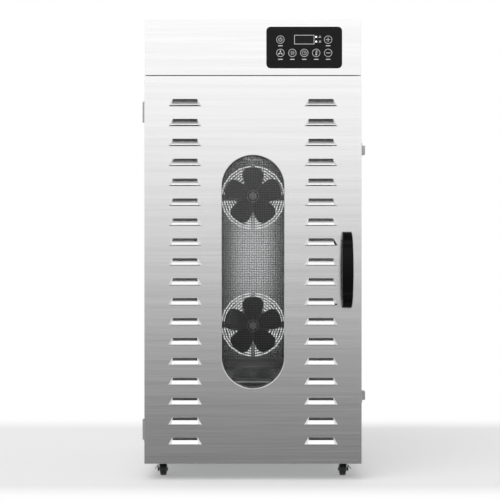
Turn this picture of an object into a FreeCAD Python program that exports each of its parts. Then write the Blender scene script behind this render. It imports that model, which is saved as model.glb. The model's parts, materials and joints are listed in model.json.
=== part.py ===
import FreeCAD, Part
import math
import os

# Cabinet food dehydrator with a glazed, louvred door, on four swivel casters.
# Millimetres. +Z up, the door faces -Y, origin on the floor under the cabinet's centre.

Vec = FreeCAD.Vector
X_AXIS = Vec(1, 0, 0)
Y_AXIS = Vec(0, 1, 0)
Z_AXIS = Vec(0, 0, 1)

# ---- driving dimensions: cabinet -------------------------------------------------
BODY_W = 430.0
BODY_H = 880.0
CASTER_H = 32.0
CAB_D = 440.0
CAB_FRONT = -193.5
SHEET = 1.0
PAN_SHEET = 1.2
FRONT_FLANGE = 15.0
FOLD = 12.0
PAN_FOLD = 20.0

# ---- door and header ---------------------------------------------------------------
DOOR_GAP = 3.0
DOOR_T = 24.0
SEAM = 2.0
HEADER_H = 109.0
HEADER_SET_BACK = 1.0
WINDOW_W = 123.5
WINDOW_H = 461.0
WINDOW_Z = 413.5
REVEAL_D = 16.0
GLASS_T = 4.0
GLASS_LAP = 8.0
END_STEPS = 12
LOUVER_X = 134.5
LOUVER_ROWS = 18
LOUVER_PITCH = 39.4
LOUVER_FIRST_Z = 71.6
LOUVER_W = 66.0
LOUVER_H = 14.2
LOUVER_D = 7.0
LOUVER_LIP = 2.4
LOUVER_FLARE = 6.0
LOUVER_TAPER = 8.5
HANDLE_X = 185.5
HANDLE_Z = 417.5
HANDLE_H = 150.0
HANDLE_PROUD = 34.0
HANDLE_MID_W = 22.0
HANDLE_END_W = 18.0
HANDLE_BAR = 11.0
HANDLE_FOOT = 15.0

# ---- drying chamber ------------------------------------------------------------------
CHAMBER_X = 199.0
CHAMBER_FLOOR_Z = 195.0
CHAMBER_TOP_Z = 792.0
LINER = 0.8
BAYS = 20
BAY_PITCH = 28.5
FIRST_LEDGE_Z = 220.0
LEDGE_W = 12.0
SCREEN_Y = 147.5
SCREEN_T = 3.2
SCREEN_BORDER = 13.0
SCREEN_FOOT = 19.0
SCREEN_COLUMNS = 12
SCREEN_ROWS = 19
TRAY_X = 194.0
TRAY_D = 330.0
TRAY_SET_BACK = 9.0
TRAY_RIM = 12.0
TRAY_RIM_H = 5.0
TRAY_CORNER = 10.0
TRAY_WIRE = 1.8
TRAY_WIRES_LONG = 11
TRAY_WIRES_CROSS = 3
PARKED_BAYS = {"tray_bottom": 17, "tray_middle": 18, "tray_top": 19}
DRIP_LIFT = 0.4
DRIP_H = 12.0
DRIP_FRONT_H = 4.0

# ---- fans, on the rear wall ----------------------------------------------------------
FAN_Z = {"lower": 288.0, "upper": 588.0}
VENT_R = 76.0
VENT_RINGS = 6
VENT_PITCH = 5.9
VENT_SLOT = 3.1
VENT_WEB = 10.0
VENT_STEP_L = 28.0
MOTOR_R = 36.0
MOTOR_NOSE_R = 11.0
MOTOR_NOSE_L = 4.0
BEARING_L = 14.0
STRAP_T = 2.0
STRAP_W = 14.0
STRAP_REACH = 86.0
STRAP_FOOT = 8.0
NUT_R = 5.6
NUT_L = 4.5
SHAFT_R = 3.0
RUNNING_FIT = 0.05
BLADES = 5
BLADE_T = 1.0
BLADE_SECTIONS = [
    (10.0, 15.0, 36.0, 1.0),
    (26.0, 42.0, 32.0, 2.5),
    (44.0, 54.0, 30.0, 3.5),
    (58.0, 49.0, 28.0, 2.5),
    (66.0, 26.0, 26.0, 0.6),
]
HUB_R = 14.5
HUB_L = 10.0
MOTOR_L = 38.0
HEATER_X = [112.0, 146.0]
HEATER_Y = 200.0
HEATER_Z = [236.0, 640.0]
HEATER_R = 4.0
HEATER_END_D = 12.0
HEATER_END_H = 18.0
STAY_W = 8.0
STAY_T = 3.0
LAMP_R = 30.0
LAMP_NECK_R = 25.0
LAMP_H = 28.0
LAMP_Y = -100.0

# ---- cord inlet ----------------------------------------------------------------------
GLAND_X = -150.0
GLAND_Z = 96.0
GLAND_R = 9.0
GLAND_HEX_R = 13.0
GLAND_BORE_R = 4.0
GLAND_SIDES = 12
GLAND_HEX_L = 5.0
GLAND_INSIDE = 12.0
GLAND_OUTSIDE = 8.0

# ---- rear sheet ------------------------------------------------------------------------
REAR_SLOTS = 8
REAR_SLOT_PITCH = 16.0
REAR_SLOT_W = 3.6
REAR_SLOT_Z = (836.0, 872.0)
SCREW_X = 207.0
SCREW_Z = (60.0, 262.0, 464.0, 666.0, 880.0)
SCREW_R = 3.5
SCREW_HEAD = 2.0

# ---- control panel -------------------------------------------------------------------
PANEL_X = 101.4
PANEL_W = 150.0
PANEL_H = 82.0
PANEL_T = 2.0
PANEL_R = 8.0
KEY_R = 8.4
KEY_CLEARANCE = 0.3
KEY_PITCH = 23.6
KEY_UPPER_Z = 15.2
KEY_LOWER_Z = -11.1
KEY_TRAVEL = 0.8
KEY_PROUD = 0.6
KEY_FLANGE = 1.5
KEY_STEM_R = 2.5
KEY_REST = 0.4
KEY_SIDES = 12
DISPLAY_W = 41.0
DISPLAY_H = 20.0
DISPLAY_RIM = 2.0
DISPLAY_PROUD = 0.5
POST_X = 60.0
POST_Z = 28.0
POST_R = 2.5
BOARD_W = 132.0
BOARD_H = 66.0
BOARD_T = 1.6
SWITCH_W = 6.0
SWITCH_T = 1.0
KEYS = {
    "power_key": (-2, KEY_UPPER_Z),
    "plus_key": (2, KEY_UPPER_Z),
    "fan_key": (-2, KEY_LOWER_Z),
    "lamp_key": (-1, KEY_LOWER_Z),
    "timer_key": (0, KEY_LOWER_Z),
    "temperature_key": (1, KEY_LOWER_Z),
    "minus_key": (2, KEY_LOWER_Z),
}

# ---- casters -------------------------------------------------------------------------
CASTER_X = 182.0
CASTER_FRONT_Y = -162.0
CASTER_REAR_Y = 208.0
WHEEL_R = 12.5
WHEEL_W = 12.4
WHEEL_BEVEL = 2.0
WHEEL_SIDES = 20
TRAIL = 8.0
AXLE_R = 2.0
STEM_R = 3.0
EAR_T = 1.5
EAR_GAP = 13.2
EAR_TOP = 8.5
RIVET_R = 3.4
RIVET_HEAD = 1.4
LEVER_AXLE = 2.4
LEVER_T = 1.5
LEVER_EYE_R = 4.4
PEDAL_REACH = 14.0
PEDAL_W = 6.0
PEDAL_D = 9.0
PLATE_W = 38.0
PLATE_T = 2.0
CUP_R = 11.0
CUP_T = 1.5
DISC_R = 12.0
DISC_T = 1.5
CASTER_PLACES = {
    "front_left": (-CASTER_X, CASTER_FRONT_Y),
    "front_right": (CASTER_X, CASTER_FRONT_Y),
    "rear_left": (-CASTER_X, CASTER_REAR_Y),
    "rear_right": (CASTER_X, CASTER_REAR_Y),
}

# ---- hinges and catches --------------------------------------------------------------
HINGE_R = 3.0
HINGE_PIN_R = 1.5
HINGE_H = 40.0
HINGE_LEAF_T = 1.2
HINGE_LEAF_D = 22.0
EYE_GAP = 0.2
HINGE_Z = [98.0, 732.0]
CATCH_Z = [166.0, 657.0]
CATCH_PROUD = 9.0
CATCH_H = 17.0
CATCH_FOOT_H = 24.0
CATCH_FOOT_T = 2.0
STRIKE_FOOT_T = 1.6
STRIKE_T = 2.6

# ---- worked out from the above ---------------------------------------------------------
SIDE_X = BODY_W / 2
BOTTOM_Z = CASTER_H
TOP_Z = CASTER_H + BODY_H
CAB_BACK = CAB_FRONT + CAB_D
DOOR_BACK = CAB_FRONT - DOOR_GAP
DOOR_FRONT = DOOR_BACK - DOOR_T
HEADER_Z = TOP_Z - HEADER_H
HEADER_FRONT = DOOR_FRONT + HEADER_SET_BACK
DOOR_TOP = HEADER_Z - SEAM
DOOR_BOTTOM = BOTTOM_Z + 1.5
PANEL_Z = (TOP_Z + HEADER_Z) / 2
LINER_END = CAB_BACK - SHEET
HINGE_X = -SIDE_X - HINGE_R - 0.2
HINGE_Y = CAB_FRONT - DOOR_GAP / 2
MOTOR_BACK = CAB_BACK - 6.0
MOTOR_FRONT = MOTOR_BACK - MOTOR_L
HUB_BACK = MOTOR_FRONT - 6.0
HUB_FRONT = HUB_BACK - HUB_L
PANEL_FRONT = HEADER_FRONT - PANEL_T
BOARD_FRONT = HEADER_FRONT + 7.0
EYE_END = HINGE_H / 6
OUTER_EYES = [(-HINGE_H / 2, -EYE_END - EYE_GAP), (EYE_END + EYE_GAP, HINGE_H / 2)]
MIDDLE_EYE = [(-EYE_END + EYE_GAP, EYE_END - EYE_GAP)]
CUP_Z = CASTER_H - PLATE_T - CUP_T
DISC_TOP = CUP_Z - 0.3

os.makedirs("parts", exist_ok=True)


# ---- shared shapes ---------------------------------------------------------------------
def save(name, *solids):
    """Write one node: a single solid, or a group of separate ones."""
    shape = solids[0] if len(solids) == 1 else Part.makeCompound(list(solids))
    shape.exportStep(f"parts/{name}.step")


def block(x, y, z):
    """Box from its low and high value along each axis."""
    return Part.makeBox(x[1] - x[0], y[1] - y[0], z[1] - z[0], Vec(x[0], y[0], z[0]))


def rod(radius, start, end):
    """Round bar between two points."""
    along = end - start
    return Part.makeCylinder(radius, along.Length, start, along)


def bar(radius, start, end, sides=10, outside=False):
    """Bar with a regular section along X, Y or Z, for small round parts.

    Its corners lie on the radius, or its flats do when outside is set, as a bore needs.
    """
    along = end - start
    across = Vec(along.y, along.z, along.x).normalize()
    reach = radius / math.cos(math.pi / sides) if outside else radius
    corners = []
    for number in range(sides):
        turn = FreeCAD.Rotation(along, 360.0 * (number + 0.5) / sides)
        corners.append(start + turn.multVec(across * reach))
    return prism(corners, along)


def edges_along(shape, direction):
    """Straight edges parallel to a direction."""
    found = []
    for edge in shape.Edges:
        if len(edge.Vertexes) == 2 and isinstance(edge.Curve, Part.Line):
            run = edge.Vertexes[1].Point - edge.Vertexes[0].Point
            if abs(run.normalize().dot(direction)) > 0.999:
                found.append(edge)
    return found


def prism(points, travel):
    """Closed outline of straight edges, pushed along a vector."""
    outline = Part.makePolygon(points + [points[0]])
    return Part.Face(outline).extrude(travel)


def obround(width, height, y, x_mid, z_mid):
    """Upright stadium outline in XZ, pushed through a y span."""
    r = width / 2
    half = height / 2 - r
    arcs = []
    for side in (1, -1):
        middle = z_mid + side * half
        across = side * r
        crown = Vec(x_mid, y[0], middle + across)
        arcs.append([Vec(x_mid + across, y[0], middle), crown, Vec(x_mid - across, y[0], middle)])
    top, low = arcs
    edges = [
        Part.Arc(*top).toShape(),
        Part.makeLine(top[2], low[0]),
        Part.Arc(*low).toShape(),
        Part.makeLine(low[2], top[0]),
    ]
    return Part.Face(Part.Wire(edges)).extrude(Vec(0, y[1] - y[0], 0))


def flat_face(*corners):
    """Flat face through its corners."""
    return Part.Face(Part.makePolygon(list(corners) + [corners[0]]))


def faceted_loft(sections):
    """Solid through sections with equal counts of corners, skinned with flat triangles."""
    faces = [flat_face(*sections[0]), flat_face(*sections[-1])]
    for low, high in zip(sections, sections[1:]):
        for number in range(len(low)):
            after = (number + 1) % len(low)
            faces.append(flat_face(low[number], low[after], high[after]))
            faces.append(flat_face(low[number], high[after], high[number]))
    return Part.makeSolid(Part.makeShell(faces))


def arc_points(x, z, radius, first, sweep, steps, y):
    """Points along an arc in XZ, angles in quarter turns."""
    points = []
    for number in range(steps + 1):
        turn = (first + sweep * number / steps) * math.pi / 2
        points.append(Vec(x + radius * math.cos(turn), y, z + radius * math.sin(turn)))
    return points


def flat_sided_obround(radius, y):
    """Window outline at a radius about its ends, made of short straight edges, pushed through a y span."""
    half = (WINDOW_H - WINDOW_W) / 2
    points = arc_points(0, WINDOW_Z + half, radius, 0, 2, END_STEPS, y[0])
    points += arc_points(0, WINDOW_Z - half, radius, 2, 2, END_STEPS, y[0])
    return prism(points, Vec(0, y[1] - y[0], 0))


def mirrored(shape):
    """The same piece on the other side of the cabinet."""
    return shape.mirror(Vec(0, 0, 0), X_AXIS)


# ---- outer cabinet ---------------------------------------------------------------------
def side_panel():
    """Left side: one folded sheet with front, rear and top returns."""
    x = (-SIDE_X, -SIDE_X + SHEET)
    depth = (CAB_FRONT, CAB_BACK)
    height = (BOTTOM_Z, TOP_Z - SHEET)
    web = block(x, depth, height)
    front = block((-SIDE_X, -SIDE_X + FRONT_FLANGE), (CAB_FRONT, CAB_FRONT + SHEET), height)
    rear = block((-SIDE_X, -SIDE_X + FOLD), (CAB_BACK - 2 * SHEET, CAB_BACK - SHEET), height)
    top = block((-SIDE_X, -SIDE_X + FOLD), (CAB_FRONT, CAB_BACK - SHEET), (TOP_Z - 2 * SHEET, TOP_Z - SHEET))
    return web.multiFuse([front, rear, top]).removeSplitter()


def top_panel():
    """Lid sheet that lies on the side panels' top returns, with a down-turned front edge."""
    lid = block((-SIDE_X, SIDE_X), (CAB_FRONT, CAB_BACK), (TOP_Z - SHEET, TOP_Z))
    inner_x = SIDE_X - FRONT_FLANGE - 0.5
    lip = block((-inner_x, inner_x), (CAB_FRONT, CAB_FRONT + SHEET), (TOP_Z - SHEET - FOLD, TOP_Z - SHEET))
    return lid.fuse(lip).removeSplitter()


def base_pan():
    """Floor sheet with its four edges turned up inside the side panels."""
    x = SIDE_X - SHEET
    y = (CAB_FRONT + SHEET, CAB_BACK - 2 * SHEET)
    tray = block((-x, x), y, (BOTTOM_Z, BOTTOM_Z + PAN_FOLD))
    inside = block(
        (-x + PAN_SHEET, x - PAN_SHEET),
        (y[0] + PAN_SHEET, y[1] - PAN_SHEET),
        (BOTTOM_Z + PAN_SHEET, BOTTOM_Z + PAN_FOLD),
    )
    return tray.cut(inside)


def vent_slots(z_mid):
    """Concentric arc slots, parted by four webs, through which a fan draws its air."""
    y = CAB_BACK - 2 * SHEET
    slots = []
    for ring in range(VENT_RINGS):
        outer = VENT_R - ring * VENT_PITCH
        inner = outer - VENT_SLOT
        margin = math.asin(VENT_WEB / 2 / inner) / (math.pi / 2)
        sweep = 1 - 2 * margin
        steps = round(outer * sweep * math.pi / 2 / VENT_STEP_L)
        for quarter in range(4):
            points = arc_points(0, z_mid, outer, quarter + margin, sweep, steps, y)
            points += reversed(arc_points(0, z_mid, inner, quarter + margin, sweep, steps, y))
            slots.append(prism(points, Vec(0, 3 * SHEET, 0)))
    return slots


def rear_panel():
    """Rear sheet with two fan vents, the cord gland's hole and a row of slots for the electronics."""
    x = SIDE_X - SHEET - 0.3
    sheet = block((-x, x), (CAB_BACK - SHEET, CAB_BACK), (BOTTOM_Z + 1.0, TOP_Z - SHEET - 0.2))
    cuts = []
    for z_mid in FAN_Z.values():
        cuts.extend(vent_slots(z_mid))
    gland_hole = (Vec(GLAND_X, CAB_BACK - 2 * SHEET, GLAND_Z), Vec(GLAND_X, CAB_BACK + SHEET, GLAND_Z))
    cuts.append(bar(GLAND_R + 0.2, *gland_hole, GLAND_SIDES, outside=True))
    slot_y = (CAB_BACK - 2 * SHEET, CAB_BACK + SHEET)
    for column in range(REAR_SLOTS):
        slot_x = (column - (REAR_SLOTS - 1) / 2) * REAR_SLOT_PITCH
        cuts.append(block((slot_x - REAR_SLOT_W / 2, slot_x + REAR_SLOT_W / 2), slot_y, REAR_SLOT_Z))
    return sheet.cut(cuts)


def header_fascia():
    """Shallow folded box above the door, cut out behind the control panel."""
    x = SIDE_X - 0.5
    y = (HEADER_FRONT, CAB_FRONT)
    z = (HEADER_Z, TOP_Z)
    shell = block((-x, x), y, z).cut(
        block((-x + SHEET, x - SHEET), (y[0] + SHEET, y[1]), (z[0] + SHEET, z[1] - SHEET))
    )
    hole = block(
        (PANEL_X - PANEL_W / 2 + 5, PANEL_X + PANEL_W / 2 - 5),
        (HEADER_FRONT - 1, HEADER_FRONT + 2 * SHEET),
        (PANEL_Z - PANEL_H / 2 + 5, PANEL_Z + PANEL_H / 2 - 5),
    )
    return shell.cut(hole)


# ---- drying chamber --------------------------------------------------------------------
def chamber_side():
    """Left wall of the chamber and of the fan space, its front edge turned out behind the cabinet's."""
    z = (CHAMBER_FLOOR_Z - LINER, CHAMBER_TOP_Z + LINER)
    wall = block((-CHAMBER_X - LINER, -CHAMBER_X), (CAB_FRONT, LINER_END), z)
    turned = block((-CHAMBER_X - FOLD, -CHAMBER_X), (CAB_FRONT + SHEET, CAB_FRONT + SHEET + LINER), z)
    return wall.fuse(turned).removeSplitter()


def ledge_z(bay):
    """Height of a bay's ledge."""
    return FIRST_LEDGE_Z + bay * BAY_PITCH


def tray_runners():
    """Left rails: ribs welded to the wall, with a flat ledge and a sloping underside."""
    y = (CAB_FRONT + 8.0, SCREEN_Y - 4.0)
    rails = []
    for bay in range(BAYS):
        top = ledge_z(bay)
        inner = -CHAMBER_X + LEDGE_W
        profile = [
            Vec(-CHAMBER_X, y[0], top),
            Vec(inner, y[0], top),
            Vec(inner, y[0], top - 1.0),
            Vec(-CHAMBER_X, y[0], top - 8.0),
        ]
        rails.append(prism(profile, Vec(0, y[1] - y[0], 0)))
    return rails


def chamber_ceiling():
    """Roof of the chamber with an upturned front edge and the lamp's hole."""
    x = CHAMBER_X
    roof = block((-x, x), (CAB_FRONT, LINER_END), (CHAMBER_TOP_Z, CHAMBER_TOP_Z + LINER))
    edge = block((-x, x), (CAB_FRONT, CAB_FRONT + LINER), (CHAMBER_TOP_Z, CHAMBER_TOP_Z + 36.0))
    ends = (Vec(0, LAMP_Y, CHAMBER_TOP_Z - 1), Vec(0, LAMP_Y, CHAMBER_TOP_Z + 2))
    hole = bar(LAMP_NECK_R + 0.2, *ends, 12, True)
    return roof.fuse(edge).removeSplitter().cut(hole)


def chamber_floor():
    """Floor of the chamber, folded down at the front to close the plinth."""
    x = CHAMBER_X
    floor = block((-x, x), (CAB_FRONT, LINER_END), (CHAMBER_FLOOR_Z - LINER, CHAMBER_FLOOR_Z))
    apron = block((-x, x), (CAB_FRONT, CAB_FRONT + LINER), (BOTTOM_Z + 1.5, CHAMBER_FLOOR_Z))
    return floor.fuse(apron).removeSplitter()


def fan_screen():
    """Guard in front of the fans: a flat frame that carries welded wires in two layers."""
    x = CHAMBER_X
    z = (CHAMBER_FLOOR_Z, CHAMBER_TOP_Z)
    middle_y = SCREEN_Y + SCREEN_T / 2
    clear_x = x - SCREEN_BORDER
    clear_z = (z[0] + SCREEN_FOOT, z[1] - SCREEN_BORDER)
    frame = block((-x, x), (SCREEN_Y, SCREEN_Y + SCREEN_T), z).cut(
        block((-clear_x, clear_x), (SCREEN_Y - 1, SCREEN_Y + SCREEN_T + 1), clear_z)
    )
    half = SCREEN_T / 4
    wires = []
    for column in range(1, SCREEN_COLUMNS):
        wire_x = -clear_x + 2 * clear_x * column / SCREEN_COLUMNS
        wires.append(block((wire_x - half, wire_x + half), (SCREEN_Y, middle_y), clear_z))
    for row in range(1, SCREEN_ROWS):
        wire_z = clear_z[0] + (clear_z[1] - clear_z[0]) * row / SCREEN_ROWS
        wire_y = (middle_y, SCREEN_Y + SCREEN_T)
        wires.append(block((-clear_x, clear_x), wire_y, (wire_z - half, wire_z + half)))
    return [frame] + wires


# ---- fans, heaters and lamp ------------------------------------------------------------
def fan_motor(z_mid):
    """Round motor can with a stepped nose and a bearing bore for the shaft."""
    shoulder = Vec(0, MOTOR_FRONT + MOTOR_NOSE_L, z_mid)
    can = bar(MOTOR_R, shoulder, Vec(0, MOTOR_BACK, z_mid), 16)
    nose = bar(MOTOR_NOSE_R, Vec(0, MOTOR_FRONT, z_mid), shoulder)
    bore_end = Vec(0, MOTOR_FRONT + BEARING_L, z_mid)
    bore = bar(SHAFT_R + RUNNING_FIT, Vec(0, MOTOR_FRONT - 1, z_mid), bore_end, outside=True)
    return can.fuse(nose).cut(bore)


def motor_bracket(z_mid):
    """Strap across the vent that carries the motor, its feet on the rear sheet."""
    z = (z_mid - STRAP_W / 2, z_mid + STRAP_W / 2)
    strap = block((-STRAP_REACH, STRAP_REACH), (MOTOR_BACK, MOTOR_BACK + STRAP_T), z)
    feet = []
    for end in (-STRAP_REACH, STRAP_REACH - STRAP_FOOT):
        feet.append(block((end, end + STRAP_FOOT), (MOTOR_BACK + STRAP_T, CAB_BACK - SHEET), z))
    return strap.multiFuse(feet).removeSplitter()


def fan_shaft(z_mid):
    """Motor shaft with the nut that clamps the fan."""
    shaft = bar(SHAFT_R, Vec(0, HUB_FRONT - 3.0, z_mid), Vec(0, MOTOR_FRONT + BEARING_L - 1.0, z_mid))
    nut = bar(NUT_R, Vec(0, HUB_FRONT - NUT_L, z_mid), Vec(0, HUB_FRONT, z_mid), 6)
    return nut.fuse(shaft)


def blade_section(radius, chord, pitch, camber):
    """Corners of a thin kinked slice across an upright blade, at a height above the hub's centre."""
    turn = math.radians(pitch)
    flat = [
        (-chord / 2, 0),
        (0, -camber),
        (chord / 2, 0),
        (chord / 2, BLADE_T),
        (0, BLADE_T - camber),
        (-chord / 2, BLADE_T),
    ]
    corners = []
    for across, along in flat:
        x = across * math.cos(turn) - along * math.sin(turn)
        y = across * math.sin(turn) + along * math.cos(turn)
        corners.append(Vec(x, y, radius))
    return corners


def fan_impeller(z_mid):
    """Five broad twisted blades on a turned hub."""
    blade = faceted_loft([blade_section(*section) for section in BLADE_SECTIONS])
    middle = (HUB_FRONT + HUB_BACK) / 2
    blade.translate(Vec(0, middle - BLADE_T / 2, z_mid))
    blades = []
    for number in range(BLADES):
        copy = blade.copy()
        copy.rotate(Vec(0, 0, z_mid), Y_AXIS, number * 360.0 / BLADES)
        blades.append(copy)
    hub = bar(HUB_R, Vec(0, HUB_FRONT, z_mid), Vec(0, HUB_BACK, z_mid), 12)
    bore = bar(SHAFT_R, Vec(0, HUB_FRONT - 1, z_mid), Vec(0, HUB_BACK + 1, z_mid))
    return hub.multiFuse(blades).cut(bore)


def heater(side):
    """Two upright sheathed rods beside the fans, joined by end blocks on stays."""
    low, high = HEATER_Z
    rods = []
    for x in HEATER_X:
        rods.append(bar(HEATER_R, Vec(side * x, HEATER_Y, low), Vec(side * x, HEATER_Y, high), 8))
    middle = side * sum(HEATER_X) / 2
    reach = (HEATER_X[1] - HEATER_X[0]) / 2 + 2 * HEATER_R
    end_y = (HEATER_Y - HEATER_END_D / 2, HEATER_Y + HEATER_END_D / 2)
    stay_x = (middle - STAY_W / 2, middle + STAY_W / 2)
    stay_y = (end_y[1], CAB_BACK - SHEET)
    ends = []
    for z in HEATER_Z:
        end_z = (z - HEATER_END_H / 2, z + HEATER_END_H / 2)
        ends.append(block((middle - reach, middle + reach), end_y, end_z))
        ends.append(block(stay_x, stay_y, (z - STAY_T / 2, z + STAY_T / 2)))
    return rods[0].multiFuse(rods[1:] + ends)


def chamber_lamp():
    """Lamp through the roof: a stepped lens below, a neck and its can above."""
    roof = CHAMBER_TOP_Z
    steps = [
        (LAMP_R - 8.0, roof - 8.0, roof - 4.5),
        (LAMP_R, roof - 4.5, roof),
        (LAMP_NECK_R, roof, roof + LINER),
        (LAMP_R - 2.0, roof + LINER, roof + LAMP_H),
    ]
    pieces = [bar(radius, Vec(0, LAMP_Y, low), Vec(0, LAMP_Y, high), 12) for radius, low, high in steps]
    return pieces[0].multiFuse(pieces[1:])


def cord_gland():
    """Threaded gland in the rear sheet with its hexagon outside and lock nut inside."""
    y = (CAB_BACK - GLAND_INSIDE, CAB_BACK + GLAND_OUTSIDE)
    barrel = bar(GLAND_R, Vec(GLAND_X, y[0], GLAND_Z), Vec(GLAND_X, y[1], GLAND_Z), GLAND_SIDES)
    collars = []
    for start in (CAB_BACK, CAB_BACK - SHEET - GLAND_HEX_L):
        ends = (Vec(GLAND_X, start, GLAND_Z), Vec(GLAND_X, start + GLAND_HEX_L, GLAND_Z))
        collars.append(bar(GLAND_HEX_R, *ends, 6))
    bore = rod(GLAND_BORE_R, Vec(GLAND_X, y[0] - 1, GLAND_Z), Vec(GLAND_X, y[1] + 1, GLAND_Z))
    return barrel.multiFuse(collars).cut(bore)


# ---- trays -----------------------------------------------------------------------------
def food_tray(bay):
    """Mesh tray: a mitred flat-bar rim with two layers of deck wires welded inside it."""
    low = ledge_z(bay) + 0.3
    y_front = CAB_FRONT + TRAY_SET_BACK
    x = TRAY_X
    y = (y_front, y_front + TRAY_D)
    corner = TRAY_CORNER
    outline = [
        Vec(-x + corner, y[0], low),
        Vec(x - corner, y[0], low),
        Vec(x, y[0] + corner, low),
        Vec(x, y[1] - corner, low),
        Vec(x - corner, y[1], low),
        Vec(-x + corner, y[1], low),
        Vec(-x, y[1] - corner, low),
        Vec(-x, y[0] + corner, low),
    ]
    inner_x = x - TRAY_RIM
    inner_y = (y[0] + TRAY_RIM, y[1] - TRAY_RIM)
    opening = block((-inner_x, inner_x), inner_y, (low - 1, low + TRAY_RIM_H + 1))
    rim = prism(outline, Vec(0, 0, TRAY_RIM_H)).cut(opening)
    half = TRAY_WIRE / 2
    layers = [low + 1.0, low + 1.0 + TRAY_WIRE, low + 1.0 + 2 * TRAY_WIRE]
    wires = []
    for number in range(1, TRAY_WIRES_LONG + 1):
        wire_x = -inner_x + 2 * inner_x * number / (TRAY_WIRES_LONG + 1)
        wires.append(block((wire_x - half, wire_x + half), inner_y, layers[1:]))
    for number in range(1, TRAY_WIRES_CROSS + 1):
        wire_y = inner_y[0] + (inner_y[1] - inner_y[0]) * number / (TRAY_WIRES_CROSS + 1)
        wires.append(block((-inner_x, inner_x), (wire_y - half, wire_y + half), layers[:2]))
    return [rim] + wires


def drip_tray():
    """Shallow pan on the chamber floor, below the lowest ledges, with a lower front edge."""
    y = (CAB_FRONT + TRAY_SET_BACK + 1.0, SCREEN_Y - 5.0)
    z = (CHAMBER_FLOOR_Z + DRIP_LIFT, CHAMBER_FLOOR_Z + DRIP_LIFT + DRIP_H)
    pan = block((-TRAY_X, TRAY_X), y, z)
    inside = block((-TRAY_X + LINER, TRAY_X - LINER), (y[0] + LINER, y[1] - LINER), (z[0] + LINER, z[1] + 1))
    lowered = [
        Vec(-TRAY_X - 1, y[0] - 1, z[0] + DRIP_FRONT_H),
        Vec(-TRAY_X - 1, y[0] + DRIP_H, z[0] + DRIP_FRONT_H),
        Vec(-TRAY_X - 1, y[0] + 3 * DRIP_H, z[1] + 1),
        Vec(-TRAY_X - 1, y[0] - 1, z[1] + 1),
    ]
    return pan.cut(inside).cut(prism(lowered, Vec(2 * TRAY_X + 2, 0, 0)))


# ---- door ------------------------------------------------------------------------------
def louver_outline(half_width, height, y):
    """Outline of a louver on the sheet, drawn in towards the top."""
    top = half_width - LOUVER_TAPER
    points = [
        Vec(-half_width, y[0], 0),
        Vec(half_width, y[0], 0),
        Vec(top, y[0], height),
        Vec(-top, y[0], height),
    ]
    return prism(points, Vec(0, y[1] - y[0], 0))


def louver_hood(half_width, height, depth, foot):
    """Pressed form on the plane y = 0: sloping face, upright lip, flanks that lean in and run out upwards."""
    side_x = half_width + LOUVER_TAPER
    side = prism(
        [
            Vec(-side_x, 0, -foot),
            Vec(-side_x, -depth, -foot),
            Vec(-side_x, -depth, LOUVER_LIP),
            Vec(-side_x, 0, height),
        ],
        Vec(2 * side_x, 0, 0),
    )
    spans = []
    for z in (-foot, height):
        reach = half_width - LOUVER_TAPER * z / height
        front = reach - LOUVER_FLARE
        spans.append([Vec(-reach, 0, z), Vec(-front, -depth, z), Vec(front, -depth, z), Vec(reach, 0, z)])
    return side.common(faceted_loft(spans)).removeSplitter()


def louver_places():
    """Lower middle point of each louver."""
    return [
        Vec(side * LOUVER_X, DOOR_FRONT, LOUVER_FIRST_Z + row * LOUVER_PITCH)
        for side in (-1, 1)
        for row in range(LOUVER_ROWS)
    ]


def door_skin():
    """Outer door sheet: folded edges, a deep window reveal and pressed louvers."""
    z = (DOOR_BOTTOM, DOOR_TOP)
    inner_x = SIDE_X - SHEET
    inner = block((-inner_x, inner_x), (DOOR_FRONT + SHEET, DOOR_BACK), (z[0] + SHEET, z[1] - SHEET))
    shell = block((-SIDE_X, SIDE_X), (DOOR_FRONT, DOOR_BACK), z).cut(inner)
    y = (DOOR_FRONT, DOOR_FRONT + REVEAL_D)
    reveal = obround(WINDOW_W + 2 * SHEET, WINDOW_H + 2 * SHEET, y, 0, WINDOW_Z)
    hole = obround(WINDOW_W, WINDOW_H, (y[0] - 1, y[1] + 1), 0, WINDOW_Z)
    outer = louver_hood(LOUVER_W / 2, LOUVER_H, LOUVER_D, 0.0)
    hollow = louver_hood(LOUVER_W / 2 - SHEET, LOUVER_H - SHEET, LOUVER_D - SHEET, 1.0)
    hood = outer.cut(hollow)
    slot = louver_outline(LOUVER_W / 2 - SHEET, LOUVER_H - SHEET, (-0.5, 2 * SHEET))
    hoods = []
    slots = []
    for place in louver_places():
        hoods.append(hood.translated(place))
        slots.append(slot.translated(place))
    return shell.fuse(reveal).cut([hole] + slots).multiFuse(hoods)


def door_inner_panel():
    """Inner door sheet with the window's hole and a row of air slots behind the louvers."""
    x = SIDE_X - SHEET
    y = (DOOR_BACK - 2 * SHEET, DOOR_BACK + SHEET)
    z = (DOOR_BOTTOM + SHEET, DOOR_TOP - SHEET)
    sheet = block((-x, x), (DOOR_BACK - SHEET, DOOR_BACK), z)
    cuts = [flat_sided_obround(WINDOW_W / 2, y)]
    for side in (-LOUVER_X, LOUVER_X):
        for group in range(LOUVER_ROWS // 3):
            slot_z = LOUVER_FIRST_Z + (3 * group + 1) * LOUVER_PITCH
            cuts.append(block((side - 25.0, side + 25.0), y, (slot_z - 8.0, slot_z + 16.0)))
    return sheet.cut(cuts)


def window_glass():
    """Pane clamped against the inner sheet."""
    y = (DOOR_BACK - SHEET - GLASS_T, DOOR_BACK - SHEET)
    return flat_sided_obround(WINDOW_W / 2 + GLASS_LAP, y)


def window_seal():
    """Flat gasket between the reveal's edge and the pane."""
    y = (DOOR_FRONT + REVEAL_D, DOOR_BACK - SHEET - GLASS_T)
    inner_y = (y[0] - 1, y[1] + 1)
    ring = flat_sided_obround(WINDOW_W / 2 + GLASS_LAP, y)
    return ring.cut(flat_sided_obround(WINDOW_W / 2 - 0.5, inner_y))


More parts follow.
